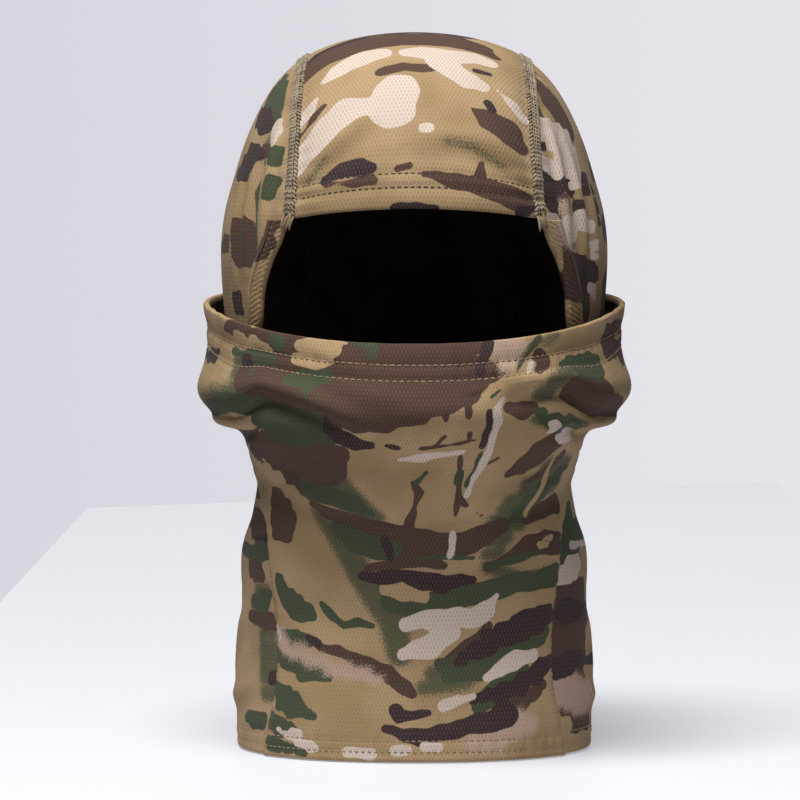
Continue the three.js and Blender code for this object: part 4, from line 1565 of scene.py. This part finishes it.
# Folds of the side panels, mirrored on the right: three places seen from the front, then the size.
SIDE_FOLDS = (
    (((55, 262), (62, 240), (63, 208)), (1.6, 3.0, 0.7)),
    (((62, 254), (69, 232), (70, 200)), (1.8, 3.4, 0.7)),
    (((70, 244), (75, 222), (75, 196)), (1.5, 3.4, 0.7)),
    (((66, 96), (71, 84), (73, 66)), (1.3, 6.0, 0.3)),
    (((64, 60), (70, 46), (73, 28)), (1.8, 6.0, 0.4)),
    (((66, 30), (70, 22), (73, 20)), (1.6, 4.5, 0.4)),
)
# Folds of the crown, in flat places, and those behind on the side panels.
CROWN_FOLDS = (
    Fold((-46, 17), (-34, 30), (-17, 40), 1.3, 4.2, 0.8),
    Fold((46, 18), (28, 36), (2, 27), 1.6, 4.6, 0.8),
    Fold((-42, 40), (-36, 60), (-34, 84), 0.7, 5.0, 0.3),
    Fold((40, 20), (30, 36), (26, 58), 0.8, 6.0, 0.3),
    Fold((42, 44), (36, 62), (32, 84), 0.6, 5.0, 0.3),
    Fold((-30, 250), (0, 262), (30, 252), 1.2, 9.0, 0.3),
    Fold((-30, 285), (0, 296), (32, 288), 1.4, 9.0, 0.3),
    Fold((-28, 322), (4, 330), (30, 320), 1.2, 9.0, 0.3),
)
REAR_FOLDS = (
    Fold((150, 40), (190, 60), (240, 52), 2.0, 8.0, 0.3),
    Fold((150, 80), (190, 96), (240, 90), 2.2, 8.0, 0.3),
    Fold((140, 118), (180, 130), (230, 124), 1.6, 8.0, 0.3),
)
# Rise, pitch and reach of the gathers beside a braid.
BRAID_GATHERS = (0.35, 6.4, 6.0)
# How far inside its cut edge a panel's grid stops.
EDGE_GAP = 1.2

BROWN_STITCH = Stitch(length=2.1, radius=0.3, pitch=2.7, lift=0.02)
KHAKI_STITCH = Stitch(length=2.4, radius=0.33, pitch=2.9, lift=0.08)


@dataclass
class CrownStrip(Panel):
    """Crown panel, its brow hem, and the raised braids along both of its sides."""

    columns: int = 74
    rows: int = 340
    behind_print: tuple[float, float, float, float] = (-44.0, 44.0, 118.0, 470.0)
    brow_hem: float = 18.0
    brow_rows: tuple[float, float] = (8.7, 14.0)
    braid_lift: float = 0.75
    tail_threads: int = 6

    def __post_init__(self) -> None:
        """Lays the patch over the head."""
        share = np.linspace(-1.0, 1.0, self.columns)
        length = FORM.crown_arc + FORM.crown_centre
        distance = np.linspace(EDGE_GAP, length - EDGE_GAP, self.rows)
        grid_share, grid_distance = np.meshgrid(share, distance)
        self.patch = Patch(share, distance, FORM.crown(grid_share, grid_distance))
        self.patch.move(np.full(grid_share.shape, FORM.cloth))
        self.flat_u = self.patch.points[..., 0].copy()
        self.flat_v = grid_distance

    def motifs(self) -> list[Motif]:
        """The print, placed by distance across and from the brow."""
        chosen = [Motif(ink, spots) for ink, spots in chains(CROWN_PRINT)]
        return chosen + scattered(11, self.behind_print)

    def build(self, finishes: FinishLibrary) -> list[bpy.types.Object]:
        """Makes the strip and all that is sewn to it.

        Args:
            finishes: The materials.

        Returns:
            The pieces.
        """
        u, v = self.flat_u, self.flat_v
        edge = FORM.crown_half - np.abs(u)
        lift = puckers(v, edge, *BRAID_GATHERS, 5) - 0.5 * bell(edge, 2.5)
        for row in self.brow_rows:
            lift -= 0.4 * bell(v - row, 0.9)
        lift -= 0.25 * smooth(v, self.brow_hem, self.brow_hem + 1.5) * smooth(60.0 - v, 0.0, 30.0)
        lift += 0.45 * bell(v - 4.4, 3.0) + 0.25 * bell(v - 11.3, 1.6)
        lift += puckers(u, np.abs(v - 11.0), 0.16, 5.0, 6.0, 8)
        self.patch.move(lift)
        panel = Sheet("crown_panel_cloth", self.patch, u, v, CROWN_FOLDS, self.motifs(), turn_last_row=True)
        cloth = panel.build(finishes)
        hem = band("brow_hem_turned", self.patch, (-0.98, 0.98), (2.0, self.brow_hem), -1.3, finishes)
        pieces = [stand_for(cloth, "crown_panel"), stand_for(hem, "brow_hem")]
        across = np.linspace(-0.93, 0.93, 160)
        for name, row in zip(("lower", "upper"), self.brow_rows):
            track = Track(self.patch, across, np.full(across.shape, row))
            stitches = thread_piece(f"brow_stitch_row_{name}", [(BROWN_STITCH, [track])], finishes.umber)
            pieces.append(stand_for(stitches, f"brow_stitch_{name}"))
        for side in Side:
            pieces += self.braid(side, finishes)
        return pieces

    def braid(self, side: Side, finishes: FinishLibrary) -> list[bpy.types.Object]:
        """Raised braid down one side, and its folded tail at the brow.

        Args:
            side: Which side.
            finishes: The materials.

        Returns:
            The braid and the tail.
        """
        distance = np.linspace(1.5, self.patch.v[-1] - 12.0, 700)
        share = np.full(distance.shape, float(side.value))
        track = Track(self.patch, share, distance)
        lift = self.braid_lift
        strands = (
            Stitch(2.9, 0.62, 1.75, lift, 38.0, -1.9, 0.3, 0.06),
            Stitch(2.9, 0.62, 1.75, lift, -38.0, 1.9, 0.3, 0.06),
            Stitch(2.3, 0.5, 1.75, lift + 0.05, 8.0, -0.35, 0.2, 0.08),
            Stitch(2.3, 0.5, 1.75, lift - 0.1, -12.0, 0.6, 0.2, 0.08),
            Stitch(5.4, 0.34, 3.5, lift - 0.45, 84.0, 0.0, 0.3, 0.1),
        )
        runs = [(strand, [track]) for strand in strands]
        braid = thread_piece(f"crown_seam_braid_{side.word}", runs, finishes.braid)
        return [stand_for(braid, f"crown_seam_{side.word}"), self.tail(side, finishes)]

    def tail(self, side: Side, finishes: FinishLibrary) -> bpy.types.Object:
        """Ends of the braid's threads, folded down over the corner of the opening."""
        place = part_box(f"brow_seam_tail_{side.word}")
        middle = (place[0] + place[1]) / 2 / MM - Vector((0.0, FORM.shift_y, 0.0))
        points, polygons, start = [], [], 0
        rng = np.random.default_rng(40 + side.value)
        shape, faces = Stitch(6.6, 0.55, 1.0, dip=0.5).model()
        down = unit(np.array([0.28 * side.value, 0.05, -1.0]))
        out = unit(np.array([0.55 * side.value, -1.0, 0.1]))
        across = unit(np.cross(down, out))
        for k in range(self.tail_threads):
            at = np.array(middle) + across * (k - 2.5) * 0.75 + out * (0.1 + 0.5 * (k % 2))
            at = at + down * rng.uniform(-0.9, 0.9)
            run = unit(down + across * rng.normal(0.0, 0.12))
            axes = np.stack([run, unit(np.cross(out, run)), out])
            points.append(at + shape @ axes)
            polygons.extend(tuple(start + i for i in face) for face in faces)
            start += len(shape)
        tail = make_mesh(f"brow_tail_threads_{side.word}", np.concatenate(points), polygons)
        dress(tail, finishes.khaki)
        return stand_for(tail, f"brow_seam_tail_{side.word}")


@dataclass
class SidePanel(Panel):
    """Side panel and the rolled hem down its side of the face opening."""

    side: Side
    columns: int = 110
    body_rows: int = 150
    top_rows: int = 46
    lap: float = 3.0
    hem_foot: float = 145.0
    hem_width: float = 8.0
    groove: float = 5.6
    spread: float = 1.28
    front_print: float = 112.0

    def __post_init__(self) -> None:
        """Lays the patch from the face opening round to the crown seam behind."""
        top = self._top()
        break_height = FORM.brow_height + 18.0
        turns = np.linspace(0.0, math.pi / 2, self.top_rows)[1:]
        body = np.linspace(EDGE_GAP, break_height, self.body_rows)
        heights = np.r_[body, break_height + (top - break_height) * np.sin(turns)]
        share = np.linspace(0.0, 1.0, self.columns)
        first, last = self.span(heights)
        angle = first[:, None] + (last - first)[:, None] * share[None, :]
        z = np.broadcast_to(heights[:, None], angle.shape)
        points = FORM.hood(self.side.value * angle, z)
        self.angle = angle
        self.patch = Patch(share, heights, points)
        self.patch.move(np.full(angle.shape, FORM.cloth))
        rows = arc_lengths(self.patch.points, 1)
        middle = self.columns // 2
        start = FORM.half_width(heights) * np.radians(first)
        self.flat_u = rows + start[:, None]
        up = arc_lengths(self.patch.points, 0)[:, middle]
        self.flat_v = np.broadcast_to(up[:, None] + EDGE_GAP, angle.shape).copy()

    @staticmethod
    def _top() -> float:
        """Height at which the head is as wide as the crown strip."""
        heights = np.linspace(FORM.brow_height, FORM.height, 4001)
        wide = FORM.half_width(heights) > FORM.crown_half + 0.9
        return float(heights[wide][-1])

    def span(self, z: Array) -> tuple[Array, Array]:
        """Angles of the front and rear edges at each height."""
        lap = np.degrees(self.lap / FORM.half_width(z))
        corner = FORM.brow_height - FORM.brow_drop
        last = FORM.crown_seam_angle(z, True)
        neck = FORM.seam_angle(z) - lap
        face = FORM.opening_angle(z) - lap * (1.0 - smooth(z, FORM.neck_height, FORM.neck_height + 12.0))
        brow = np.maximum(FORM.crown_seam_angle(z, False), FORM.opening_angle(np.array([corner]))[0])
        first = np.where(z < FORM.neck_height, neck, np.where(z < corner, face, brow))
        return first, last

    def motifs(self) -> list[Motif]:
        """The print: chosen shapes where the panel faces forward, seeded ones behind."""
        front = [self.shape(ink, *((x, z, self.spread * radius) for x, z, radius in spots))
                 for ink, spots in chains(SIDE_PRINT[self.side])]
        behind = (self.front_print, float(self.flat_u.max()), 0.0, 290.0)
        return front + scattered(20 + self.side.value, behind)

    def build(self, finishes: FinishLibrary) -> list[bpy.types.Object]:
        """Makes the panel, its rolled hem and the hem's stitches.

        Args:
            finishes: The materials.

        Returns:
            The pieces.
        """
        sign = self.side.value
        z = np.broadcast_to(self.patch.v[:, None], self.angle.shape)
        before = arc_lengths(self.patch.points, 1)
        after = before[:, -1:] - before
        neck = 1.0 - smooth(z, FORM.neck_height + 60.0, FORM.neck_height + 74.0)
        lift = -0.9 * bell(before, 3.2) * neck
        lift += puckers(z, after, *BRAID_GATHERS, 6)
        lift += puckers(z, before, 0.4, 7.5, 9.0, 7) * smooth(z, 215.0, 232.0)
        lift -= 0.5 * bell(after, 2.5)
        for row in BOTTOM_ROWS:
            lift -= 0.35 * bell(z - row, 0.9)
        lift += puckers(before, np.abs(z - 7.0), 0.25, 6.0, 6.0, 9)
        self.patch.move(lift)
        folds = [
            *(self.fold(*((sign * x, height) for x, height in line), *size) for line, size in SIDE_FOLDS),
            *REAR_FOLDS,
        ]
        panel = Sheet(f"side_panel_cloth_{self.side.word}", self.patch, self.flat_u, self.flat_v, folds,
                      self.motifs())
        cloth = stand_for(panel.build(finishes), f"side_panel_{self.side.word}")
        return [cloth, self.rolled_hem(panel, finishes), self.hem_stitches(finishes)]

    def _hem_section(self) -> tuple[Array, Array]:
        """Closed outline of the rolled hem: distance from the edge, and height over the panel."""
        back = np.linspace(self.hem_width, 0.6, 8)
        turn = np.linspace(-math.pi / 2, math.pi / 2, 13)
        over = np.linspace(0.8, self.hem_width + 1.6, 26)
        top = 1.5 + 0.35 * np.sin(np.clip((over - 0.8) / (self.groove - 0.8), 0, 1) * math.pi)
        top = top - 1.15 * bell(over - self.groove, 0.65) - 1.1 * smooth(over, self.groove + 0.5, over[-1])
        across = np.r_[back, 0.2 - 1.75 * np.cos(turn), over]
        height = np.r_[np.full(8, -2.0), -0.25 + 1.75 * np.sin(turn), top]
        return across, height

    def rolled_hem(self, panel: "Sheet", finishes: FinishLibrary) -> bpy.types.Object:
        """Rolled hem that follows the face opening's edge.

        Args:
            panel: The panel whose print it carries on.
            finishes: The materials.

        Returns:
            The finished piece.
        """
        across, height = self._hem_section()
        z = np.linspace(self.hem_foot, FORM.brow_height - FORM.brow_drop - 0.5, 130)
        angle = FORM.opening_angle(z)[:, None] + np.degrees(across[None, :] / FORM.half_width(z)[:, None])
        heights = np.broadcast_to(z[:, None], angle.shape)
        sign = self.side.value
        form = FORM.hood(sign * angle, heights)
        away = FORM.hood(sign * np.maximum(angle, FORM.opening_angle(z)[:, None]), heights)
        outward = FORM.outward(sign * angle, heights, away)
        ribs = 0.2 * np.cos(2.0 * math.pi * (heights + 0.55 * across[None, :]) / 2.3)
        on_top = (height > 0.5)[None, :] * (across < self.groove)[None, :]
        rise = FORM.cloth + 0.45 + height[None, :] + ribs * on_top
        grid = form + outward * rise[..., None]
        start = (FORM.half_width(z) * np.radians(FORM.opening_angle(z)))[:, None]
        flat = np.stack([start + across[None, :] + 0.0 * heights, heights], axis=-1)
        piece = self._tube(f"opening_hem_roll_{self.side.word}", grid)
        lay_flat_map(piece, flat)
        ink_fields(piece, flat, panel.motifs)
        dress(piece, finishes.printed)
        return stand_for(piece, f"opening_hem_{self.side.word}")

    @staticmethod
    def _tube(name: str, grid: Array) -> bpy.types.Object:
        """Closed roll from rows of outlines, with its two ends capped."""
        rows, ring = grid.shape[:2]
        number = np.arange(rows * ring).reshape(rows, ring)
        after = np.roll(number, -1, axis=1)
        faces = np.stack([number[:-1], after[:-1], after[1:], number[1:]], axis=-1).reshape(-1, 4)
        every = [tuple(f) for f in faces] + [tuple(number[0][::-1]), tuple(number[-1])]
        piece = make_mesh(name, grid.reshape(-1, 3), every)
        pick(piece)
        bpy.ops.object.mode_set(mode="EDIT")
        bpy.ops.mesh.select_all(action="SELECT")
        bpy.ops.mesh.normals_make_consistent(inside=False)
        bpy.ops.object.mode_set(mode="OBJECT")
        return piece

    def hem_stitches(self, finishes: FinishLibrary) -> bpy.types.Object:
        """Row of stitches in the rolled hem's groove."""
        z = np.linspace(self.hem_foot + 1.0, FORM.brow_height - FORM.brow_drop - 2.0, 200)
        angle = FORM.opening_angle(z) + np.degrees(self.groove / FORM.half_width(z))
        share = np.linspace(-1.0, 1.0, 5)
        spread = angle[:, None] + np.degrees(share[None, :] / FORM.half_width(z)[:, None])
        heights = np.broadcast_to(z[:, None], spread.shape)
        groove = Patch(share, z, FORM.hood(self.side.value * spread, heights))
        groove.move(np.full(spread.shape, FORM.cloth + 0.45 + 0.65))
        track = Track(groove, np.zeros(z.shape), z)
        runs = [(Stitch(2.0, 0.26, 2.6, 0.0), [track])]
        piece = thread_piece(f"opening_stitch_row_{self.side.word}", runs, finishes.khaki)
        return stand_for(piece, f"opening_stitch_{self.side.word}")


@dataclass
class MaskFront(Panel):
    """Mask panel with its ear pockets, loose rim, rim stitches and side seams."""

    columns: int = 250
    neck_rows: int = 84
    face_rows: int = 70
    rim_hem: float = 20.0
    rim_rows: tuple[float, float] = (10.0, 17.0)
    pocket_height: float = 151.5
    pocket_foot: float = 138.0
    pocket_drop: float = 11.0

    def __post_init__(self) -> None:
        """Lays the patch over neck, chin and nose and round both ears."""
        share = np.linspace(-1.0, 1.0, self.columns)
        heights = np.r_[
            np.linspace(1.3, FORM.neck_height, self.neck_rows),
            np.linspace(FORM.neck_height, FORM.rim_rear - EDGE_GAP, self.face_rows)[1:],
        ]
        grid_share, grid_rear = np.meshgrid(share, heights)
        self.patch = Patch(share, heights, FORM.mask(grid_share, grid_rear))
        self.patch.move(np.full(grid_share.shape, FORM.cloth))
        middle = self.columns // 2
        rows = arc_lengths(self.patch.points, 1)
        self.flat_u = rows - rows[:, middle : middle + 1]
        up = arc_lengths(self.patch.points, 0)[:, middle] + 1.3
        self.flat_v = np.broadcast_to(up[:, None], grid_share.shape).copy()
        self.from_rim = FORM.rim_rear - grid_rear

    def motifs(self) -> list[Motif]:
        """The print, as seen from the front."""
        return [self.shape(ink, *spots) for ink, spots in chains(MASK_PRINT)]

    def build(self, finishes: FinishLibrary) -> list[bpy.types.Object]:
        """Makes the panel and all that is sewn to it.

        Args:
            finishes: The materials.

        Returns:
            The pieces.
        """
        rows = arc_lengths(self.patch.points, 1)
        edge = np.minimum(rows, rows[:, -1:] - rows)
        rear = FORM.rim_rear - self.from_rim
        below_ear = 1.0 - smooth(rear, FORM.neck_height - 4.0, FORM.neck_height + 26.0)
        lift = -1.5 * bell(edge, 2.6) * below_ear
        lift += puckers(rear, edge, 0.3, 7.0, 6.0, 12)
        for row in self.rim_rows:
            lift -= 0.4 * bell(self.from_rim - row, 0.9)
        lift += 0.55 * bell(self.from_rim - 5.0, 3.6) + 0.35 * bell(self.from_rim - 13.3, 2.0)
        lift += puckers(self.flat_u, np.abs(self.from_rim - 13.0), 0.3, 5.2, 5.0, 14)
        lift += puckers(self.flat_u, np.abs(self.from_rim - 2.0), 0.3, 17.0, 8.0, 15)
        for row in BOTTOM_ROWS:
            lift -= 0.35 * bell(rear - row, 0.9)
        lift += puckers(self.flat_u, np.abs(rear - 7.0), 0.25, 6.3, 5.0, 16)
        self.patch.move(lift)
        self._sag(edge)
        fold = self.fold
        folds = [
            fold((-80, 152), (-50, 165), (-20, 140), 3.4, 4.8, 1.15),
            fold((-34, 158), (-20, 152), (-4, 152), 1.3, 5.0, 0.6),
            fold((-44, 174), (-30, 164), (-16, 163), 0.9, 4.0, 0.4),
            fold((82, 149), (58, 162), (32, 155), 3.4, 4.8, 1.15),
            fold((70, 138), (60, 141), (50, 135), 1.4, 2.8, 0.5),
            fold((54, 150), (40, 162), (26, 164), 1.1, 4.0, 0.5),
            fold((-66, 124), (-48, 110), (-22, 106), 1.5, 6.0, 0.5),
            fold((66, 120), (48, 110), (24, 108), 1.5, 6.0, 0.5),
            fold((-50, 96), (-20, 80), (12, 84), 1.2, 7.0, 0.3),
            fold((52, 86), (20, 66), (-8, 64), 1.2, 7.0, 0.3),
            fold((-54, 52), (-24, 42), (4, 46), 1.3, 7.0, 0.3),
            fold((56, 42), (28, 28), (2, 30), 1.3, 6.0, 0.3),
            fold((-14, 120), (-8, 100), (-12, 78), 0.9, 5.0, 0.2),
            fold((12, 118), (16, 100), (14, 84), 0.9, 5.0, 0.2),
        ]
        panel = Sheet("mask_front_cloth", self.patch, self.flat_u, self.flat_v, folds, self.motifs(),
                      turn_last_row=True, roll=1.2)
        cloth = stand_for(panel.build(finishes), "mask_front_panel")
        top = FORM.rim_rear
        hem = band("mask_rim_turned", self.patch, (-0.83, 0.83), (top - self.rim_hem, top - 2.0), -1.4,
                   finishes, (220, 14))
        pieces = [cloth, stand_for(hem, "mask_top_hem")]
        across = np.linspace(-0.83, 0.83, 420)
        for name, row in zip(("upper", "lower"), self.rim_rows):
            track = Track(self.patch, across, np.full(across.shape, top - row))
            stitches = thread_piece(f"mask_rim_stitch_{name}", [(KHAKI_STITCH, [track])], finishes.khaki)
            pieces.append(stand_for(stitches, f"mask_top_stitch_{name}"))
        return pieces

    def _sag(self, edge: Array) -> None:
        """Lets the ear pockets hang over the seam below them.

        Args:
            edge: Distance of each point from the panel's side edge.
        """
        points = self.patch.points
        outer = smooth(np.abs(points[..., 0]), 60.0, 76.0) * smooth(edge, 1.0, 12.0)
        height = points[..., 2].copy()
        hang = bell(height - self.pocket_height, 12.0)
        below = bell(height - self.pocket_foot, 9.0)
        out = 2.4 * hang + 1.4 * bell(height - 161.0, 8.0) - 8.0 * below
        points[..., 2] -= self.pocket_drop * hang * outer
        points[..., 0] += out * outer * np.sign(points[..., 0])
        self.patch.refresh()

    def seams(self, finishes: FinishLibrary) -> list[bpy.types.Object]:
        """Fine stitches in the valleys where the panel meets the side panels."""
        pieces = []
        for side in Side:
            rear = np.linspace(13.0, FORM.rim_rear - 2.0, 500)
            share = np.full(rear.shape, side.value * 0.994)
            track = Track(self.patch, share, rear)
            stitch = Stitch(2.2, 0.28, 2.5, -0.15, 30.0)
            seam = thread_piece(f"mask_seam_thread_{side.word}", [(stitch, [track])], finishes.umber)
            pieces.append(stand_for(seam, f"mask_seam_{side.word}"))
        return pieces


@dataclass
class BottomHem:
    """Turned hem round the bottom, with its two rows of stitches through every panel."""

    crown: CrownStrip
    sides: list[SidePanel]
    mask: MaskFront
    depth: float = 12.0

    def build(self, finishes: FinishLibrary) -> list[bpy.types.Object]:
        """Makes the inner band and the rows.

        Args:
            finishes: The materials.

        Returns:
            The pieces.
        """
        angle = np.linspace(-180.0, 180.0, 241)
        height = np.linspace(0.5, self.depth, 8)
        grid_angle, grid_height = np.meshgrid(angle, height)
        ring = Patch(angle, height, FORM.hood(grid_angle, grid_height))
        hem = band("bottom_hem_turned", ring, (-180.0, 180.0), (0.5, self.depth), -0.5, finishes, (241, 8))
        pieces = [stand_for(hem, "bottom_hem")]
        for name, row in zip(("lower", "upper"), BOTTOM_ROWS):
            tracks = [self._across(self.mask.patch, row, 0.0)]
            tracks += [self._across(side.patch, row, 0.06) for side in self.sides]
            last = self.crown.patch.v[-1] + 1.2
            tracks.append(self._across(self.crown.patch, last - row, 0.0))
            stitches = thread_piece(f"bottom_stitch_row_{name}", [(BROWN_STITCH, tracks)], finishes.khaki)
            pieces.append(stand_for(stitches, f"bottom_stitch_{name}"))
        return pieces

    @staticmethod
    def _across(patch: Patch, row: float, skip: float) -> Track:
        """Track along one row of a patch, leaving out a share at its start."""
        start = patch.u[0] + skip * (patch.u[-1] - patch.u[0])
        u = np.linspace(start, patch.u[-1], 200)
        return Track(patch, u, np.full(u.shape, row))


# -------------------- studio


@dataclass(frozen=True)
class Studio:
    """Pale table, pale room, soft lights and the camera, in metres."""

    camera_place: tuple[float, float, float] = (-0.006, -2.4, 0.242)
    camera_tilt: float = 2.29
    lens: float = 256.0
    table: tuple[float, float, float, float] = (-0.232, 0.288, -0.9, 1.87)

    def build(self) -> None:
        """Makes the table, the world, the lights and the camera."""
        self._table()
        self._world()
        self._light("key_light", (-0.3, -0.8, 1.85), (0.0, 0.0, 0.22), (1.2, 0.8), 65.0)
        self._light("fill_light", (1.1, -1.6, 0.7), (0.0, 0.0, 0.15), (1.0, 1.0), 1.2)
        self._backdrop()
        self._camera()

    def _table(self) -> None:
        """Slab under the part, pale, with painted light: it glows, dimmer near the camera and brighter
        towards the back.
        """
        bpy.ops.object.select_all(action="DESELECT")
        left, right, near, far = self.table
        bpy.ops.mesh.primitive_cube_add(size=1.0, location=((left + right) / 2, (near + far) / 2, -0.0205))
        table = bpy.context.object
        table.name = "table"
        table.scale = (right - left, far - near, 0.04)
        bpy.ops.object.transform_apply(location=True, rotation=True, scale=True)
        material, nodes, shader = new_material("pale_table")
        place = nodes.place()
        tone = nodes.noise(place, 3.0)
        nodes.link(nodes.mix(tone, linear(176, 176, 181), linear(181, 181, 185)), shader["Base Color"])
        shader["Roughness"].default_value = 0.55
        # Painted light: the glow brightens from the near edge to the back of the table.
        away = nodes.ramp(nodes.split(place)[1], -0.5, 1.8)
        glow = nodes.mix(away, linear(146, 147, 151), linear(188, 189, 193))
        nodes.link(glow, shader["Emission Color"])
        shader["Emission Strength"].default_value = 1.0
        table.data.materials.append(material)
        for corner in table.data.vertices:
            if corner.co.y > 0.0:
                corner.co.y = 1.71 + 0.34 * (corner.co.x - left) / (right - left)

    @staticmethod
    def _world() -> None:
        """Even pale light from all round."""
        world = bpy.data.worlds.new("pale_room")
        bpy.context.scene.world = world
        world.use_nodes = True
        nodes = Nodes(world.node_tree)
        output = nodes.add("ShaderNodeOutputWorld")
        background = nodes.add("ShaderNodeBackground")
        nodes.link(background.outputs[0], output.inputs[0])
        background.inputs["Color"].default_value = linear(224, 223, 231)
        background.inputs["Strength"].default_value = 0.13

    @staticmethod
    def _backdrop() -> None:
        """Pale wall far behind, a little brighter to the right."""
        bpy.ops.object.select_all(action="DESELECT")
        bpy.ops.mesh.primitive_plane_add(size=1.0, location=(0.0, 6.0, 0.4), rotation=(math.pi / 2, 0.0, 0.0))
        wall = bpy.context.object
        wall.name = "wall"
        wall.scale = (6.0, 4.4, 1.0)
        bpy.ops.object.transform_apply(location=True, rotation=True, scale=True)
        material, nodes, shader = new_material("pale_wall")
        across = nodes.ramp(nodes.split(nodes.place())[0], -0.6, 0.6)
        glow = nodes.mix(across, linear(216, 215, 223), linear(229, 228, 235))
        nodes.link(glow, shader["Emission Color"])
        shader["Emission Strength"].default_value = 1.0
        shader["Base Color"].default_value = (0.0, 0.0, 0.0, 1.0)
        shader["Roughness"].default_value = 1.0
        shader["Specular IOR Level"].default_value = 0.0
        wall.data.materials.append(material)

    @staticmethod
    def _light(name: str, place: tuple, target: tuple, size: Point, power: float) -> None:
        """Large soft light aimed at a point."""
        data = bpy.data.lights.new(name, "AREA")
        data.shape = "RECTANGLE"
        data.size, data.size_y = size
        data.energy = power
        light = bpy.data.objects.new(name, data)
        bpy.context.scene.collection.objects.link(light)
        light.location = place
        light.rotation_euler = (Vector(target) - Vector(place)).to_track_quat("-Z", "Y").to_euler()

    def _camera(self) -> None:
        """Camera at eye height, well back."""
        data = bpy.data.cameras.new("camera")
        data.lens = self.lens
        data.sensor_width = 36.0
        camera = bpy.data.objects.new("camera", data)
        bpy.context.scene.collection.objects.link(camera)
        camera.location = self.camera_place
        camera.rotation_euler = (math.radians(90.0 - self.camera_tilt), 0.0, 0.0)
        bpy.context.scene.camera = camera
        bpy.context.scene.view_settings.view_transform = "Standard"


# -------------------- everything together


FORM = WornForm()

# Width and length of the cloth that each panel was cut from, and the area of the cut, in metres.
CROWN_CUT = ((0.104, 0.49), 0.0465)
SIDE_CUT = ((0.24, 0.3), 0.05)
MASK_CUT = ((0.36, 0.21), 0.05)


def main() -> None:
    """Builds every sub-assembly in order, ties the fixed pieces to the hood's body and sets up the view."""
    logging.basicConfig(level=logging.INFO, format="%(name)s: %(message)s")
    finishes = FinishLibrary()
    crown = CrownStrip()
    sides = [SidePanel(side) for side in Side]
    mask = MaskFront()
    crown_pieces = crown.build(finishes)
    side_pieces = [side.build(finishes) for side in sides]
    mask_pieces = mask.build(finishes)
    seam_pieces = mask.seams(finishes)
    bottom_pieces = BottomHem(crown, sides, mask).build(finishes)

    fixed = crown_pieces + [piece for group in side_pieces for piece in group] + seam_pieces + bottom_pieces
    for piece in fixed:
        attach(piece, HOOD_BODY)
    for piece in mask_pieces:
        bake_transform(piece)

    cuts = (CROWN_CUT, SIDE_CUT, SIDE_CUT, MASK_CUT)
    groups = (crown_pieces, *side_pieces, mask_pieces + seam_pieces)
    for (cloth, *riders), (flat, area) in zip(groups, cuts):
        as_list(riders)
    for piece in fixed + mask_pieces:
        LOG.info("%s: %d faces", piece.name, len(piece.data.polygons))
    Studio().build()


if __name__ == "__main__":
    main()
